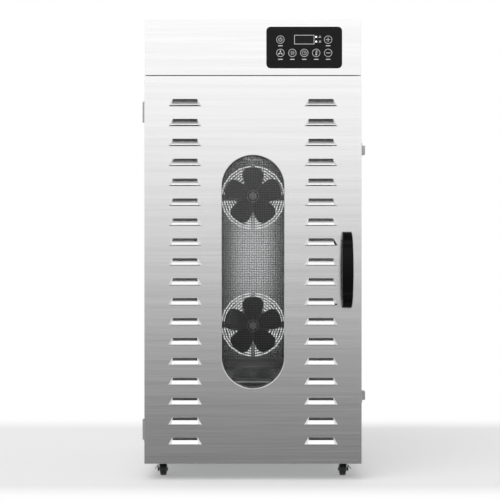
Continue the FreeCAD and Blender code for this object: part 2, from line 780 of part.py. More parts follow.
def door_seal():
    """Gasket round the chamber's mouth, on the cabinet's front flanges."""
    y = (CAB_FRONT - 2.4, CAB_FRONT)
    outer = block((-211.0, 211.0), y, (184.0, 801.0))
    inner = block((-203.0, 203.0), (y[0] - 1, y[1] + 1), (191.5, 794.0))
    return outer.cut(inner)


def door_handle():
    """Bow handle: arched in side view and fuller in the middle seen from the front."""
    half = HANDLE_H / 2
    mid = HANDLE_MID_W / 2
    end = HANDLE_END_W / 2
    shoulder_y = -HANDLE_PROUD + 3.0
    shoulder_z = half - 30.0
    knee_y = -HANDLE_PROUD * 0.72
    knee_z = half - 9.0
    upper = [Vec(-mid, 0, half), Vec(-mid, knee_y, knee_z), Vec(-mid, shoulder_y, shoulder_z)]
    lower = [Vec(point.x, point.y, -point.z) for point in reversed(upper)]
    side_edges = [
        Part.makeLine(lower[2], upper[0]),
        Part.Arc(*upper).toShape(),
        Part.Arc(upper[2], Vec(-mid, -HANDLE_PROUD, 0), lower[0]).toShape(),
        Part.Arc(*lower).toShape(),
    ]
    bow = Part.Face(Part.Wire(side_edges)).extrude(Vec(HANDLE_MID_W, 0, 0))
    grip_y = HANDLE_BAR - HANDLE_PROUD
    grip = block((-mid - 1.0, mid + 1.0), (grip_y, 1.0), (HANDLE_FOOT - half, half - HANDLE_FOOT))
    inside = [edge for edge in edges_along(grip, X_AXIS) if edge.Vertexes[0].Point.y < grip_y + 1.0]
    grip = grip.makeFillet(9.0, inside)
    y = -HANDLE_PROUD - 1.0
    front_edges = [
        Part.makeLine(Vec(-end, y, half), Vec(end, y, half)),
        Part.Arc(Vec(end, y, half), Vec(mid, y, 0), Vec(end, y, -half)).toShape(),
        Part.makeLine(Vec(end, y, -half), Vec(-end, y, -half)),
        Part.Arc(Vec(-end, y, -half), Vec(-mid, y, 0), Vec(-end, y, half)).toShape(),
    ]
    barrel = Part.Face(Part.Wire(front_edges)).extrude(Vec(0, HANDLE_PROUD + 2.0, 0))
    return bow.cut(grip).common(barrel).translated(Vec(HANDLE_X, DOOR_FRONT, HANDLE_Z))


# ---- hinges and catches ----------------------------------------------------------------
def knuckle(z_mid, low, high):
    """Rolled eye of a hinge leaf between two heights about its middle, with the pin's bore."""
    start = Vec(HINGE_X, HINGE_Y, z_mid + low)
    end = Vec(HINGE_X, HINGE_Y, z_mid + high)
    eye = bar(HINGE_R, start, end, 8)
    bore = bar(HINGE_PIN_R + RUNNING_FIT, start - Z_AXIS, end + Z_AXIS, 8, True)
    return eye, bore


def hinge_leaf(z_mid, spans, towards):
    """Leaf on the left side; towards is -1 for the door's leaf and 1 for the cabinet's."""
    near = HINGE_Y + towards * (HINGE_R + 0.7)
    far = HINGE_Y + towards * HINGE_LEAF_D
    x = (-SIDE_X - HINGE_LEAF_T, -SIDE_X)
    half = HINGE_H / 2
    leaf = block(x, (min(near, far), max(near, far)), (z_mid - half, z_mid + half))
    bores = []
    for low, high in spans:
        eye, bore = knuckle(z_mid, low, high)
        root = HINGE_Y + towards * 1.7
        tongue = block(x, (min(near, root), max(near, root)), (z_mid + low, z_mid + high))
        leaf = leaf.multiFuse([eye, tongue])
        bores.append(bore)
    return leaf.cut(bores)


def hinge_pin(z_mid):
    """Headed pin through one hinge's eyes."""
    half = HINGE_H / 2
    foot = Vec(HINGE_X, HINGE_Y, z_mid - half)
    neck = Vec(HINGE_X, HINGE_Y, z_mid + half)
    pin = bar(HINGE_PIN_R, foot, neck, 8)
    head = bar(HINGE_R - 0.4, neck, neck + Z_AXIS * 1.4, 8)
    return pin.fuse(head)


def door_catch(z_mid):
    """Magnetic catch on the cabinet's right side: a foot and a wedge-backed housing."""
    foot_x = SIDE_X + CATCH_FOOT_T
    foot_z = (z_mid - CATCH_FOOT_H / 2, z_mid + CATCH_FOOT_H / 2)
    foot = block((SIDE_X, foot_x), (CAB_FRONT + 2, CAB_FRONT + 28), foot_z)
    proud = SIDE_X + CATCH_PROUD
    low = z_mid - CATCH_H / 2
    housing = prism(
        [
            Vec(foot_x, CAB_FRONT - 0.5, low),
            Vec(proud, CAB_FRONT - 0.5, low),
            Vec(proud, CAB_FRONT + 16, low),
            Vec(foot_x + 2.0, CAB_FRONT + 26, low),
            Vec(foot_x, CAB_FRONT + 26, low),
        ],
        Vec(0, 0, CATCH_H),
    )
    return foot.fuse(housing).removeSplitter()


def catch_strike(z_mid):
    """Steel flag on the door's edge that the magnet holds."""
    foot_z = (z_mid - CATCH_FOOT_H / 2, z_mid + CATCH_FOOT_H / 2)
    foot = block((SIDE_X, SIDE_X + STRIKE_FOOT_T), (DOOR_BACK - 20, DOOR_BACK), foot_z)
    back = DOOR_BACK + 1.2
    flag_z = (z_mid - CATCH_H / 2, z_mid + CATCH_H / 2)
    flag = block((SIDE_X, SIDE_X + CATCH_PROUD), (back - STRIKE_T, back), flag_z)
    return foot.fuse(flag).removeSplitter()


# ---- control panel ---------------------------------------------------------------------
def key_point(column, height, y):
    """Point on a key's axis."""
    return Vec(PANEL_X + column * KEY_PITCH, y, PANEL_Z + height)


def control_panel():
    """Moulded panel with rounded corners, key holes, display window and board posts."""
    outline = []
    for quarter, (side_x, side_z) in enumerate(((1, 1), (-1, 1), (-1, -1), (1, -1))):
        corner_x = PANEL_X + side_x * (PANEL_W / 2 - PANEL_R)
        corner_z = PANEL_Z + side_z * (PANEL_H / 2 - PANEL_R)
        outline += arc_points(corner_x, corner_z, PANEL_R, quarter, 1, 3, PANEL_FRONT)
    plate = prism(outline, Vec(0, PANEL_T, 0))
    cuts = []
    for column, height in KEYS.values():
        start = key_point(column, height, PANEL_FRONT - 1)
        end = key_point(column, height, HEADER_FRONT + 1)
        cuts.append(bar(KEY_R + KEY_CLEARANCE, start, end, KEY_SIDES, True))
    display_z = PANEL_Z + KEY_UPPER_Z
    cuts.append(
        block(
            (PANEL_X - DISPLAY_W / 2 + DISPLAY_RIM, PANEL_X + DISPLAY_W / 2 - DISPLAY_RIM),
            (PANEL_FRONT - 1, HEADER_FRONT + 1),
            (display_z - DISPLAY_H / 2 + DISPLAY_RIM, display_z + DISPLAY_H / 2 - DISPLAY_RIM),
        )
    )
    posts = []
    for post_x in (-POST_X, POST_X):
        for post_z in (-POST_Z, POST_Z):
            start = Vec(PANEL_X + post_x, HEADER_FRONT, PANEL_Z + post_z)
            posts.append(bar(POST_R, start, start + Vec(0, BOARD_FRONT - HEADER_FRONT, 0), 6))
    return plate.cut(cuts).multiFuse(posts)


def display_lens():
    """Raised display window that drops into the panel from the front."""
    display_z = PANEL_Z + KEY_UPPER_Z
    rim = block(
        (PANEL_X - DISPLAY_W / 2, PANEL_X + DISPLAY_W / 2),
        (PANEL_FRONT - DISPLAY_PROUD, PANEL_FRONT),
        (display_z - DISPLAY_H / 2, display_z + DISPLAY_H / 2),
    )
    body = block(
        (PANEL_X - DISPLAY_W / 2 + DISPLAY_RIM, PANEL_X + DISPLAY_W / 2 - DISPLAY_RIM),
        (PANEL_FRONT, BOARD_FRONT),
        (display_z - DISPLAY_H / 2 + DISPLAY_RIM, display_z + DISPLAY_H / 2 - DISPLAY_RIM),
    )
    return rim.fuse(body).removeSplitter()


def control_board():
    """Circuit board on the panel's posts with a switch behind each key and a relay."""
    back = BOARD_FRONT + BOARD_T
    board = block(
        (PANEL_X - BOARD_W / 2, PANEL_X + BOARD_W / 2),
        (BOARD_FRONT, back),
        (PANEL_Z - BOARD_H / 2, PANEL_Z + BOARD_H / 2),
    )
    half = SWITCH_W / 2
    pieces = []
    for column, height in KEYS.values():
        at = key_point(column, height, BOARD_FRONT)
        across = (at.x - half, at.x + half)
        pieces.append(block(across, (at.y - SWITCH_T, at.y), (at.z - half, at.z + half)))
    relay = block((PANEL_X - 50, PANEL_X - 24), (back, back + 13.4), (PANEL_Z - 20, PANEL_Z - 2))
    return board.multiFuse(pieces + [relay]).removeSplitter()


def key_cap(column, height):
    """Round key with a retaining flange and a stem that meets its switch."""
    stem_end = BOARD_FRONT - SWITCH_T - KEY_TRAVEL - KEY_REST
    faces = [PANEL_FRONT - KEY_PROUD, HEADER_FRONT + 0.4, HEADER_FRONT + 1.4, stem_end]
    places = [key_point(column, height, y) for y in faces]
    cap = bar(KEY_R, places[0], places[1], KEY_SIDES)
    flange = bar(KEY_R + KEY_FLANGE, places[1], places[2], 6)
    stem = bar(KEY_STEM_R, places[2], places[3], 4)
    return cap.multiFuse([flange, stem])


# ---- casters ---------------------------------------------------------------------------
def caster_plate():
    """Square mounting plate with its pressed bearing cup."""
    width = (-PLATE_W / 2, PLATE_W / 2)
    plate = block(width, width, (CASTER_H - PLATE_T, CASTER_H))
    cup = bar(CUP_R, Vec(0, 0, CUP_Z), Vec(0, 0, CASTER_H - PLATE_T), 8)
    bore = bar(STEM_R + RUNNING_FIT, Vec(0, 0, CUP_Z - 1), Vec(0, 0, CASTER_H + 1), 8, True)
    return plate.fuse(cup).cut(bore)


def caster_fork(brake_side):
    """Pressed fork with its king pin, two tapered ears and a riveted axle."""
    disc = bar(DISC_R, Vec(0, 0, DISC_TOP - DISC_T), Vec(0, 0, DISC_TOP), 10)
    stem = bar(STEM_R, Vec(0, 0, DISC_TOP), Vec(0, 0, CASTER_H - 0.8), 8)
    ears = []
    for x in (-EAR_GAP / 2 - EAR_T, EAR_GAP / 2):
        profile = [
            Vec(x, -EAR_TOP, DISC_TOP - DISC_T / 2),
            Vec(x, EAR_TOP, DISC_TOP - DISC_T / 2),
            Vec(x, TRAIL + 5.2, WHEEL_R + 1.5),
            Vec(x, TRAIL + 4.0, WHEEL_R - 3.0),
            Vec(x, TRAIL, WHEEL_R - 5.4),
            Vec(x, TRAIL - 4.0, WHEEL_R - 3.0),
            Vec(x, TRAIL - 5.2, WHEEL_R + 1.5),
        ]
        ears.append(prism(profile, Vec(EAR_T, 0, 0)))
    reach = EAR_GAP / 2 + EAR_T
    head = reach + RIVET_HEAD
    left_end = -head - (LEVER_AXLE if brake_side < 0 else 0.0)
    right_end = head + (LEVER_AXLE if brake_side > 0 else 0.0)
    axle = bar(AXLE_R, Vec(left_end, TRAIL, WHEEL_R), Vec(right_end, TRAIL, WHEEL_R), 8)
    rivets = [
        bar(RIVET_R, Vec(-head, TRAIL, WHEEL_R), Vec(-reach, TRAIL, WHEEL_R), 6),
        bar(RIVET_R, Vec(reach, TRAIL, WHEEL_R), Vec(head, TRAIL, WHEEL_R), 6),
    ]
    return disc.multiFuse([stem, axle] + ears + rivets)


def caster_wheel():
    """Wheel with bevelled tread edges and a running bore."""
    half = WHEEL_W / 2
    flank_r = WHEEL_R - WHEEL_BEVEL
    tread = half - WHEEL_BEVEL
    turns = [2 * math.pi * number / WHEEL_SIDES for number in range(WHEEL_SIDES)]
    rings = []
    for x, radius in ((-half, flank_r), (-tread, WHEEL_R), (tread, WHEEL_R), (half, flank_r)):
        rings.append([Vec(x, radius * math.sin(turn), -radius * math.cos(turn)) for turn in turns])
    tyre = faceted_loft(rings)
    bore = bar(AXLE_R + RUNNING_FIT, Vec(-half - 1, 0, 0), Vec(half + 1, 0, 0), 8, True)
    return tyre.cut(bore).translated(Vec(0, TRAIL, WHEEL_R))


def brake_lever(side):
    """Side plate on the axle's end with a slanted pedal."""
    inner = side * (EAR_GAP / 2 + EAR_T + RIVET_HEAD + 0.3)
    outer = inner + side * LEVER_T
    eye = bar(LEVER_EYE_R, Vec(inner, TRAIL, WHEEL_R), Vec(outer, TRAIL, WHEEL_R), 8)
    arm = prism(
        [
            Vec(inner, TRAIL - 3.0, WHEEL_R + 3.0),
            Vec(inner, TRAIL + 3.0, WHEEL_R + 3.0),
            Vec(inner, TRAIL - 10.0, WHEEL_R + 10.5),
            Vec(inner, TRAIL - PEDAL_REACH, WHEEL_R + 7.5),
        ],
        Vec(outer - inner, 0, 0),
    )
    pedal = prism(
        [
            Vec(inner, TRAIL - PEDAL_REACH, WHEEL_R + 10.5),
            Vec(inner, TRAIL - PEDAL_REACH, WHEEL_R + 9.0),
            Vec(inner + side * PEDAL_W, TRAIL - PEDAL_REACH, WHEEL_R + 2.0),
            Vec(inner + side * PEDAL_W, TRAIL - PEDAL_REACH, WHEEL_R + 3.5),
        ],
        Vec(0, PEDAL_D, 0),
    )
    start = Vec(inner - side, TRAIL, WHEEL_R)
    hole = bar(AXLE_R + RUNNING_FIT, start, Vec(outer + side, TRAIL, WHEEL_R), 8, True)
    return eye.multiFuse([arm, pedal]).cut(hole)


def rear_screws():
    """Hexagon-head screws that hold the rear sheet."""
    screws = []
    for x in (-SCREW_X, SCREW_X):
        for z in SCREW_Z:
            screws.append(bar(SCREW_R, Vec(x, CAB_BACK, z), Vec(x, CAB_BACK + SCREW_HEAD, z), 6))
    return screws


# ---- make the nodes --------------------------------------------------------------------
left_side = side_panel()
save("left_side_panel", left_side)
save("right_side_panel", mirrored(left_side))
save("top_panel", top_panel())
save("base_pan", base_pan())
save("rear_panel", rear_panel())
save("header_fascia", header_fascia())

left_wall = chamber_side()
left_runners = tray_runners()
save("chamber_side_left", left_wall)
save("chamber_side_right", mirrored(left_wall))
save("tray_runners_left", *left_runners)
save("tray_runners_right", *[mirrored(rail) for rail in left_runners])
save("chamber_ceiling", chamber_ceiling())
save("chamber_floor", chamber_floor())
save("fan_screen", *fan_screen())

save("fan_motors", *[fan_motor(z) for z in FAN_Z.values()])
save("motor_brackets", *[motor_bracket(z) for z in FAN_Z.values()])
save("heaters", heater(-1), heater(1))
save("chamber_lamp", chamber_lamp())
save("cord_gland", cord_gland())
save("rear_screws", *rear_screws())
for level, fan_z in FAN_Z.items():
    save(f"fan_impeller_{level}", fan_impeller(fan_z))
    save(f"fan_shaft_{level}", fan_shaft(fan_z))

for tray_name, tray_bay in PARKED_BAYS.items():
    save(tray_name, *food_tray(tray_bay))
save("drip_tray", drip_tray())

save("door_skin", door_skin())
save("door_inner_panel", door_inner_panel())
save("window_glass", window_glass())
save("window_seal", window_seal())
save("door_seal", door_seal())
save("door_handle", door_handle())

save("cabinet_hinge_leaves", *[hinge_leaf(z, OUTER_EYES, 1) for z in HINGE_Z])
save("door_hinge_leaves", *[hinge_leaf(z, MIDDLE_EYE, -1) for z in HINGE_Z])
save("hinge_pins", *[hinge_pin(z) for z in HINGE_Z])
save("door_catches", *[door_catch(z) for z in CATCH_Z])
save("catch_strikes", *[catch_strike(z) for z in CATCH_Z])

save("control_panel", control_panel())
save("display_lens", display_lens())
save("control_board", control_board())
for key_name, key_place in KEYS.items():
    save(key_name, key_cap(*key_place))

plate = caster_plate()
wheel = caster_wheel()
save("caster_plates", *[plate.translated(Vec(cx, cy, 0)) for cx, cy in CASTER_PLACES.values()])
for place_name, (cx, cy) in CASTER_PLACES.items():
    place = Vec(cx, cy, 0)
    side = math.copysign(1, cx)
    braked = place_name.startswith("front")
    save(f"caster_fork_{place_name}", caster_fork(side if braked else 0).translated(place))
    save(f"caster_wheel_{place_name}", wheel.translated(place))
    if braked:
        save(f"brake_lever_{place_name}", brake_lever(side).translated(place))
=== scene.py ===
import json
import logging
import math
from collections.abc import Callable, Sequence
from dataclasses import dataclass
from enum import Enum
from typing import Any

import bmesh
import bpy
from mathutils import Matrix, Vector


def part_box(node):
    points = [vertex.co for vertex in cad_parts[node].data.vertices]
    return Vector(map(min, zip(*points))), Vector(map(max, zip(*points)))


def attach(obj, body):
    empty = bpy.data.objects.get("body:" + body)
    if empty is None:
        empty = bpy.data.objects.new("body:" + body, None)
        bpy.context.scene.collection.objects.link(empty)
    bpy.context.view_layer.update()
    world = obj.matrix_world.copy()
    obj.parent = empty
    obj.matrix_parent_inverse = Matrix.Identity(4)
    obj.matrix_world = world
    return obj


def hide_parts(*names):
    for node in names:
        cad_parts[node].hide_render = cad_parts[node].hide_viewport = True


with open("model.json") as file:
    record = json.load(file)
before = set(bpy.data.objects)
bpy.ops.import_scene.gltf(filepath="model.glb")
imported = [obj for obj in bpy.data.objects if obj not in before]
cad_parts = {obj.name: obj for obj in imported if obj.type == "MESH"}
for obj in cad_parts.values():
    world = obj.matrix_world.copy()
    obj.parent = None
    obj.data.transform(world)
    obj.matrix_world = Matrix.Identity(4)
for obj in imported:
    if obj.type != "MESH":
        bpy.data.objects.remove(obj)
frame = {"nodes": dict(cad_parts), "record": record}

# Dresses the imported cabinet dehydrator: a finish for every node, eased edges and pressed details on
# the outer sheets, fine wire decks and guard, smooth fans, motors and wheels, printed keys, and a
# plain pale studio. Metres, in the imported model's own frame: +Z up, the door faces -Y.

MM = 0.001
WELD = 0.002 * MM  # points closer than this are one point
LEVEL_TURN = math.radians(0.5)  # faces that turn by less than this are one face
NODES = frame["nodes"]
RECORD = frame["record"]
BODY_OF = {node: body for body, nodes in RECORD["behaviour"]["bodies"].items() for node in nodes}
SLOT_OF = {row["node"]: row["material_slot"] for row in RECORD["subparts"]}
Colour = tuple[float, float, float, float]
Pieces = list[bpy.types.Object]
Stops = Sequence[tuple[float, float]]


# ---- shared tools ----------------------------------------------------------------------
def linear(code: str) -> Colour:
    """Turns an sRGB hex value into the linear colour that a shader socket takes.

    Args:
        code: hex value such as "#a0a0a0".

    Returns:
        Red, green, blue and alpha.
    """
    channels = [int(code[at:at + 2], 16) / 255 for at in (1, 3, 5)]
    red, green, blue = [c / 12.92 if c <= 0.04045 else ((c + 0.055) / 1.055) ** 2.4 for c in channels]
    return red, green, blue, 1.0


def add_node(tree: bpy.types.NodeTree, kind: str, feeds: dict[Any, Any] | None = None,
             **settings: Any) -> Any:
    """Adds one shader node.

    Args:
        tree: the node tree that gets the node.
        kind: the node's type name.
        feeds: for each input's name or number, a value or another node's output.
        settings: the node's own properties.

    Returns:
        The new node.
    """
    node = tree.nodes.new(kind)
    for key, value in settings.items():
        setattr(node, key, value)
    for key, value in (feeds or {}).items():
        if isinstance(value, bpy.types.NodeSocket):
            tree.links.new(value, node.inputs[key])
        else:
            node.inputs[key].default_value = value
    return node


class Finish:
    """A surface finish, which makes its material once and then hands it out."""

    label: str

    def material(self) -> bpy.types.Material:
        """Makes the material on first use, and hands out the same one after that.

        Returns:
            This finish's material.
        """
        made = bpy.data.materials.get(self.label)
        if made is None:
            made = bpy.data.materials.new(self.label)
            made.use_nodes = True
            made.node_tree.nodes.clear()
            surface = self.surface(made.node_tree)
            add_node(made.node_tree, "ShaderNodeOutputMaterial", {"Surface": surface})
        return made

    def surface(self, tree: bpy.types.NodeTree) -> bpy.types.NodeSocket:
        """Builds the finish's nodes.

        Args:
            tree: the material's node tree.

        Returns:
            The shader output.
        """
        raise NotImplementedError


class Lie(Enum):
    """Which way the brush lines of a sheet run, as noise cells per stroke length and spacing."""

    LEVEL = (1, 1, 0)
    LID = (1, 0, 0)

    def scale(self, length: float, spacing: float) -> tuple[float, ...]:
        """Returns the noise scale along X, Y and Z for a stroke length and spacing in metres."""
        return tuple(1 / length if along else 1 / spacing for along in self.value)


# ---- finishes --------------------------------------------------------------------------
@dataclass(frozen=True)
class BrushedStainless(Finish):
    """Stainless steel sheet, belt-brushed along the roll: long level scratches, a streaky satin mirror.

    Scratches lie 0.1 to 0.3 mm apart; they are drawn 1.6 mm apart so that they show.
    """

    label: str = "brushed stainless, level lines"
    light: str = "#f4f4f4"
    dark: str = "#e9e9e9"
    roughness: float = 0.2
    smoother: float = 0.015
    rougher: float = 0.022
    anisotropy: float = 0.55
    stroke: float = 260 * MM
    spacing: float = 1.6 * MM
    band: tuple[float, float] = (2, 7)  # a broad band's length in strokes and its width in spacings
    depth: float = 0.02 * MM
    lie: Lie = Lie.LEVEL

    def surface(self, tree: bpy.types.NodeTree) -> bpy.types.NodeSocket:
        """Scratches vary the tone, gloss and height; broad bands vary the tone a little more.

        Args:
            tree: the material's node tree.

        Returns:
            The shader output.
        """
        place = add_node(tree, "ShaderNodeTexCoord")
        fine = add_node(tree, "ShaderNodeMapping", {
            "Vector": place.outputs["Object"], "Scale": self.lie.scale(self.stroke, self.spacing)})
        scratches = add_node(tree, "ShaderNodeTexNoise", {
            "Vector": fine.outputs["Vector"], "Scale": 1.0, "Detail": 3.0, "Roughness": 0.6})
        strokes, spacings = self.band
        broad = add_node(tree, "ShaderNodeMapping", {
            "Vector": place.outputs["Object"],
            "Scale": self.lie.scale(strokes * self.stroke, spacings * self.spacing)})
        bands = add_node(tree, "ShaderNodeTexNoise", {
            "Vector": broad.outputs["Vector"], "Scale": 1.0, "Detail": 2.0})
        both = add_node(tree, "ShaderNodeMath", {
            0: scratches.outputs["Fac"], 1: bands.outputs["Fac"]}, operation="MULTIPLY")
        spread = add_node(tree, "ShaderNodeMapRange", {
            "Value": both.outputs[0], "From Min": 0.1, "From Max": 0.42})
        tone = add_node(tree, "ShaderNodeMix", {
            0: spread.outputs["Result"], 6: linear(self.dark), 7: linear(self.light)}, data_type="RGBA")
        gloss = add_node(tree, "ShaderNodeMapRange", {
            "Value": scratches.outputs["Fac"], "From Min": 0.3, "From Max": 0.7,
            "To Min": self.roughness - self.smoother, "To Max": self.roughness + self.rougher})
        relief = add_node(tree, "ShaderNodeBump", {
            "Height": both.outputs[0], "Strength": 0.16, "Distance": self.depth})
        # The highlight spreads across the level scratches, so the tangent stands upright. Its slight
        # lean gives level faces a direction too.
        across = add_node(tree, "ShaderNodeCombineXYZ", {"X": 0.0, "Y": 0.05, "Z": 1.0})
        return add_node(tree, "ShaderNodeBsdfPrincipled", {
            "Base Color": tone.outputs[2], "Metallic": 1.0, "Roughness": gloss.outputs["Result"],
            "Anisotropic": self.anisotropy, "Normal": relief.outputs["Normal"],
            "Tangent": across.outputs["Vector"]}).outputs["BSDF"]


@dataclass(frozen=True)
class RolledStainless(Finish):
    """Stainless sheet with the mill's dull cold-rolled finish: even, faintly cloudy, little direction.

    The roll's grain is drawn at 1.2 mm, coarser than the real one, so that it shows.
    """

    label: str = "cold-rolled stainless"
    light: str = "#c9c9c7"
    dark: str = "#b4b4b2"
    roughness: float = 0.3
    smoother: float = 0.05
    rougher: float = 0.07
    cloud: float = 30 * MM
    grain: float = 1.2 * MM
    depth: float = 0.02 * MM

    def surface(self, tree: bpy.types.NodeTree) -> bpy.types.NodeSocket:
        """Clouds in the tone and gloss, with the roll's grain as relief.

        Args:
            tree: the material's node tree.

        Returns:
            The shader output.
        """
        place = add_node(tree, "ShaderNodeTexCoord")
        clouds = add_node(tree, "ShaderNodeTexNoise", {
            "Vector": place.outputs["Object"], "Scale": 1 / self.cloud, "Detail": 4.0})
        grain = add_node(tree, "ShaderNodeTexNoise", {
            "Vector": place.outputs["Object"], "Scale": 1 / self.grain, "Detail": 2.0})
        tone = add_node(tree, "ShaderNodeMix", {
            0: clouds.outputs["Fac"], 6: linear(self.dark), 7: linear(self.light)}, data_type="RGBA")
        gloss = add_node(tree, "ShaderNodeMapRange", {
            "Value": clouds.outputs["Fac"], "To Min": self.roughness - self.smoother,
            "To Max": self.roughness + self.rougher})
        relief = add_node(tree, "ShaderNodeBump", {
            "Height": grain.outputs["Fac"], "Strength": 0.15, "Distance": self.depth})
        return add_node(tree, "ShaderNodeBsdfPrincipled", {
            "Base Color": tone.outputs[2], "Metallic": 1.0, "Roughness": gloss.outputs["Result"],
            "Normal": relief.outputs["Normal"]}).outputs["BSDF"]


@dataclass(frozen=True)
class GalvanisedSheet(Finish):
    """Hot-dip galvanised steel: grey zinc with flat crystals, each at its own tone and gloss."""

    label: str = "galvanised sheet"
    light: str = "#b9bcbd"
    dark: str = "#8f9394"
    spangle: float = 7 * MM

    def surface(self, tree: bpy.types.NodeTree) -> bpy.types.NodeSocket:
        """Cells of a Voronoi pattern give the crystals.

        Args:
            tree: the material's node tree.

        Returns:
            The shader output.
        """
        place = add_node(tree, "ShaderNodeTexCoord")
        crystals = add_node(tree, "ShaderNodeTexVoronoi", {
            "Vector": place.outputs["Object"], "Scale": 1 / self.spangle})
        pick = add_node(tree, "ShaderNodeSeparateColor", {"Color": crystals.outputs["Color"]})
        tone = add_node(tree, "ShaderNodeMix", {
            0: pick.outputs["Red"], 6: linear(self.dark), 7: linear(self.light)}, data_type="RGBA")
        gloss = add_node(tree, "ShaderNodeMapRange", {
            "Value": pick.outputs["Green"], "To Min": 0.35, "To Max": 0.55})
        return add_node(tree, "ShaderNodeBsdfPrincipled", {
            "Base Color": tone.outputs[2], "Metallic": 1.0,
            "Roughness": gloss.outputs["Result"]}).outputs["BSDF"]


@dataclass(frozen=True)
class PlatedSteel(Finish):
    """Small steel parts with a thin plating: bright, with handling marks that dull it in patches."""

    label: str = "bright plated steel"
    light: str = "#d8d8d6"
    dark: str = "#aaaaa8"
    roughness: float = 0.24
    rougher: float = 0.08
    marks: float = 4 * MM
    depth: float = 0.05 * MM

    def surface(self, tree: bpy.types.NodeTree) -> bpy.types.NodeSocket:
        """Patchy tone and gloss.

        Args:
            tree: the material's node tree.

        Returns:
            The shader output.
        """
        place = add_node(tree, "ShaderNodeTexCoord")
        patches = add_node(tree, "ShaderNodeTexNoise", {
            "Vector": place.outputs["Object"], "Scale": 1 / self.marks, "Detail": 5.0, "Roughness": 0.6})
        tone = add_node(tree, "ShaderNodeMix", {
            0: patches.outputs["Fac"], 6: linear(self.dark), 7: linear(self.light)}, data_type="RGBA")
        gloss = add_node(tree, "ShaderNodeMapRange", {
            "Value": patches.outputs["Fac"], "From Min": 0.3, "From Max": 0.7,
            "To Min": self.roughness + self.rougher, "To Max": self.roughness})
        relief = add_node(tree, "ShaderNodeBump", {
            "Height": patches.outputs["Fac"], "Strength": 0.1, "Distance": self.depth})
        return add_node(tree, "ShaderNodeBsdfPrincipled", {
            "Base Color": tone.outputs[2], "Metallic": 1.0, "Roughness": gloss.outputs["Result"],
            "Normal": relief.outputs["Normal"]}).outputs["BSDF"]


@dataclass(frozen=True)
class MouldedPlastic(Finish):
    """Injection-moulded plastic from a spark-eroded tool: pebble grain, soft sheen, slight tone drift.

    The grain is drawn at 1 mm, coarser than the real one, so that it shows.
    """

    label: str
    colour: str
    roughness: float = 0.38
    specular: float = 0.5
    grain: float = 1.0 * MM
    grain_height: float = 0.03 * MM
    drift: float = 0.12
    gloss_drift: float = 0.05
    drift_span: float = 12 * MM

    def surface(self, tree: bpy.types.NodeTree) -> bpy.types.NodeSocket:
        """Pebble grain as relief, with slow drift of tone and gloss.

        Args:
            tree: the material's node tree.

        Returns:
            The shader output.
        """
        place = add_node(tree, "ShaderNodeTexCoord")
        pebbles = add_node(tree, "ShaderNodeTexVoronoi", {
            "Vector": place.outputs["Object"], "Scale": 1 / self.grain}, feature="SMOOTH_F1")
        slow = add_node(tree, "ShaderNodeTexNoise", {
            "Vector": place.outputs["Object"], "Scale": 1 / self.drift_span, "Detail": 3.0})
        lift = add_node(tree, "ShaderNodeMapRange", {
            "Value": slow.outputs["Fac"], "To Min": 1 - self.drift, "To Max": 1 + self.drift})
        tone = add_node(tree, "ShaderNodeHueSaturation", {
            "Value": lift.outputs["Result"], "Color": linear(self.colour)})
        gloss = add_node(tree, "ShaderNodeMapRange", {
            "Value": slow.outputs["Fac"], "To Min": self.roughness - self.gloss_drift,
            "To Max": self.roughness + self.gloss_drift})
        relief = add_node(tree, "ShaderNodeBump", {
            "Height": pebbles.outputs["Distance"], "Strength": 0.3, "Distance": self.grain_height})
        return add_node(tree, "ShaderNodeBsdfPrincipled", {
            "Base Color": tone.outputs["Color"], "Roughness": gloss.outputs["Result"], "IOR": 1.5,
            "Specular IOR Level": self.specular, "Normal": relief.outputs["Normal"]}).outputs["BSDF"]


@dataclass(frozen=True)
class PaneGlass(Finish):
    """Tempered float glass, 4 mm: clear with a grey cast, flat enough to mirror the room faintly."""

    label: str = "tempered glass pane"
    cast: str = "#f3f4f4"
    ior: float = 1.5
    wipe: float = 60 * MM

    def surface(self, tree: bpy.types.NodeTree) -> bpy.types.NodeSocket:
        """Clear tint, with a mirror share that grows towards the edge of sight and faint wipe marks.

        Args:
            tree: the material's node tree.

        Returns:
            The shader output.
        """
        place = add_node(tree, "ShaderNodeTexCoord")
        wipes = add_node(tree, "ShaderNodeTexNoise", {
            "Vector": place.outputs["Object"], "Scale": 1 / self.wipe, "Detail": 4.0})
        gloss = add_node(tree, "ShaderNodeMapRange", {
            "Value": wipes.outputs["Fac"], "To Min": 0.02, "To Max": 0.08})
        share = add_node(tree, "ShaderNodeFresnel", {"IOR": self.ior})
        through = add_node(tree, "ShaderNodeBsdfTransparent", {"Color": linear(self.cast)})
        mirror = add_node(tree, "ShaderNodeBsdfAnisotropic", {"Roughness": gloss.outputs["Result"]})
        return add_node(tree, "ShaderNodeMixShader", {
            0: share.outputs[0], 1: through.outputs[0], 2: mirror.outputs[0]}).outputs[0]


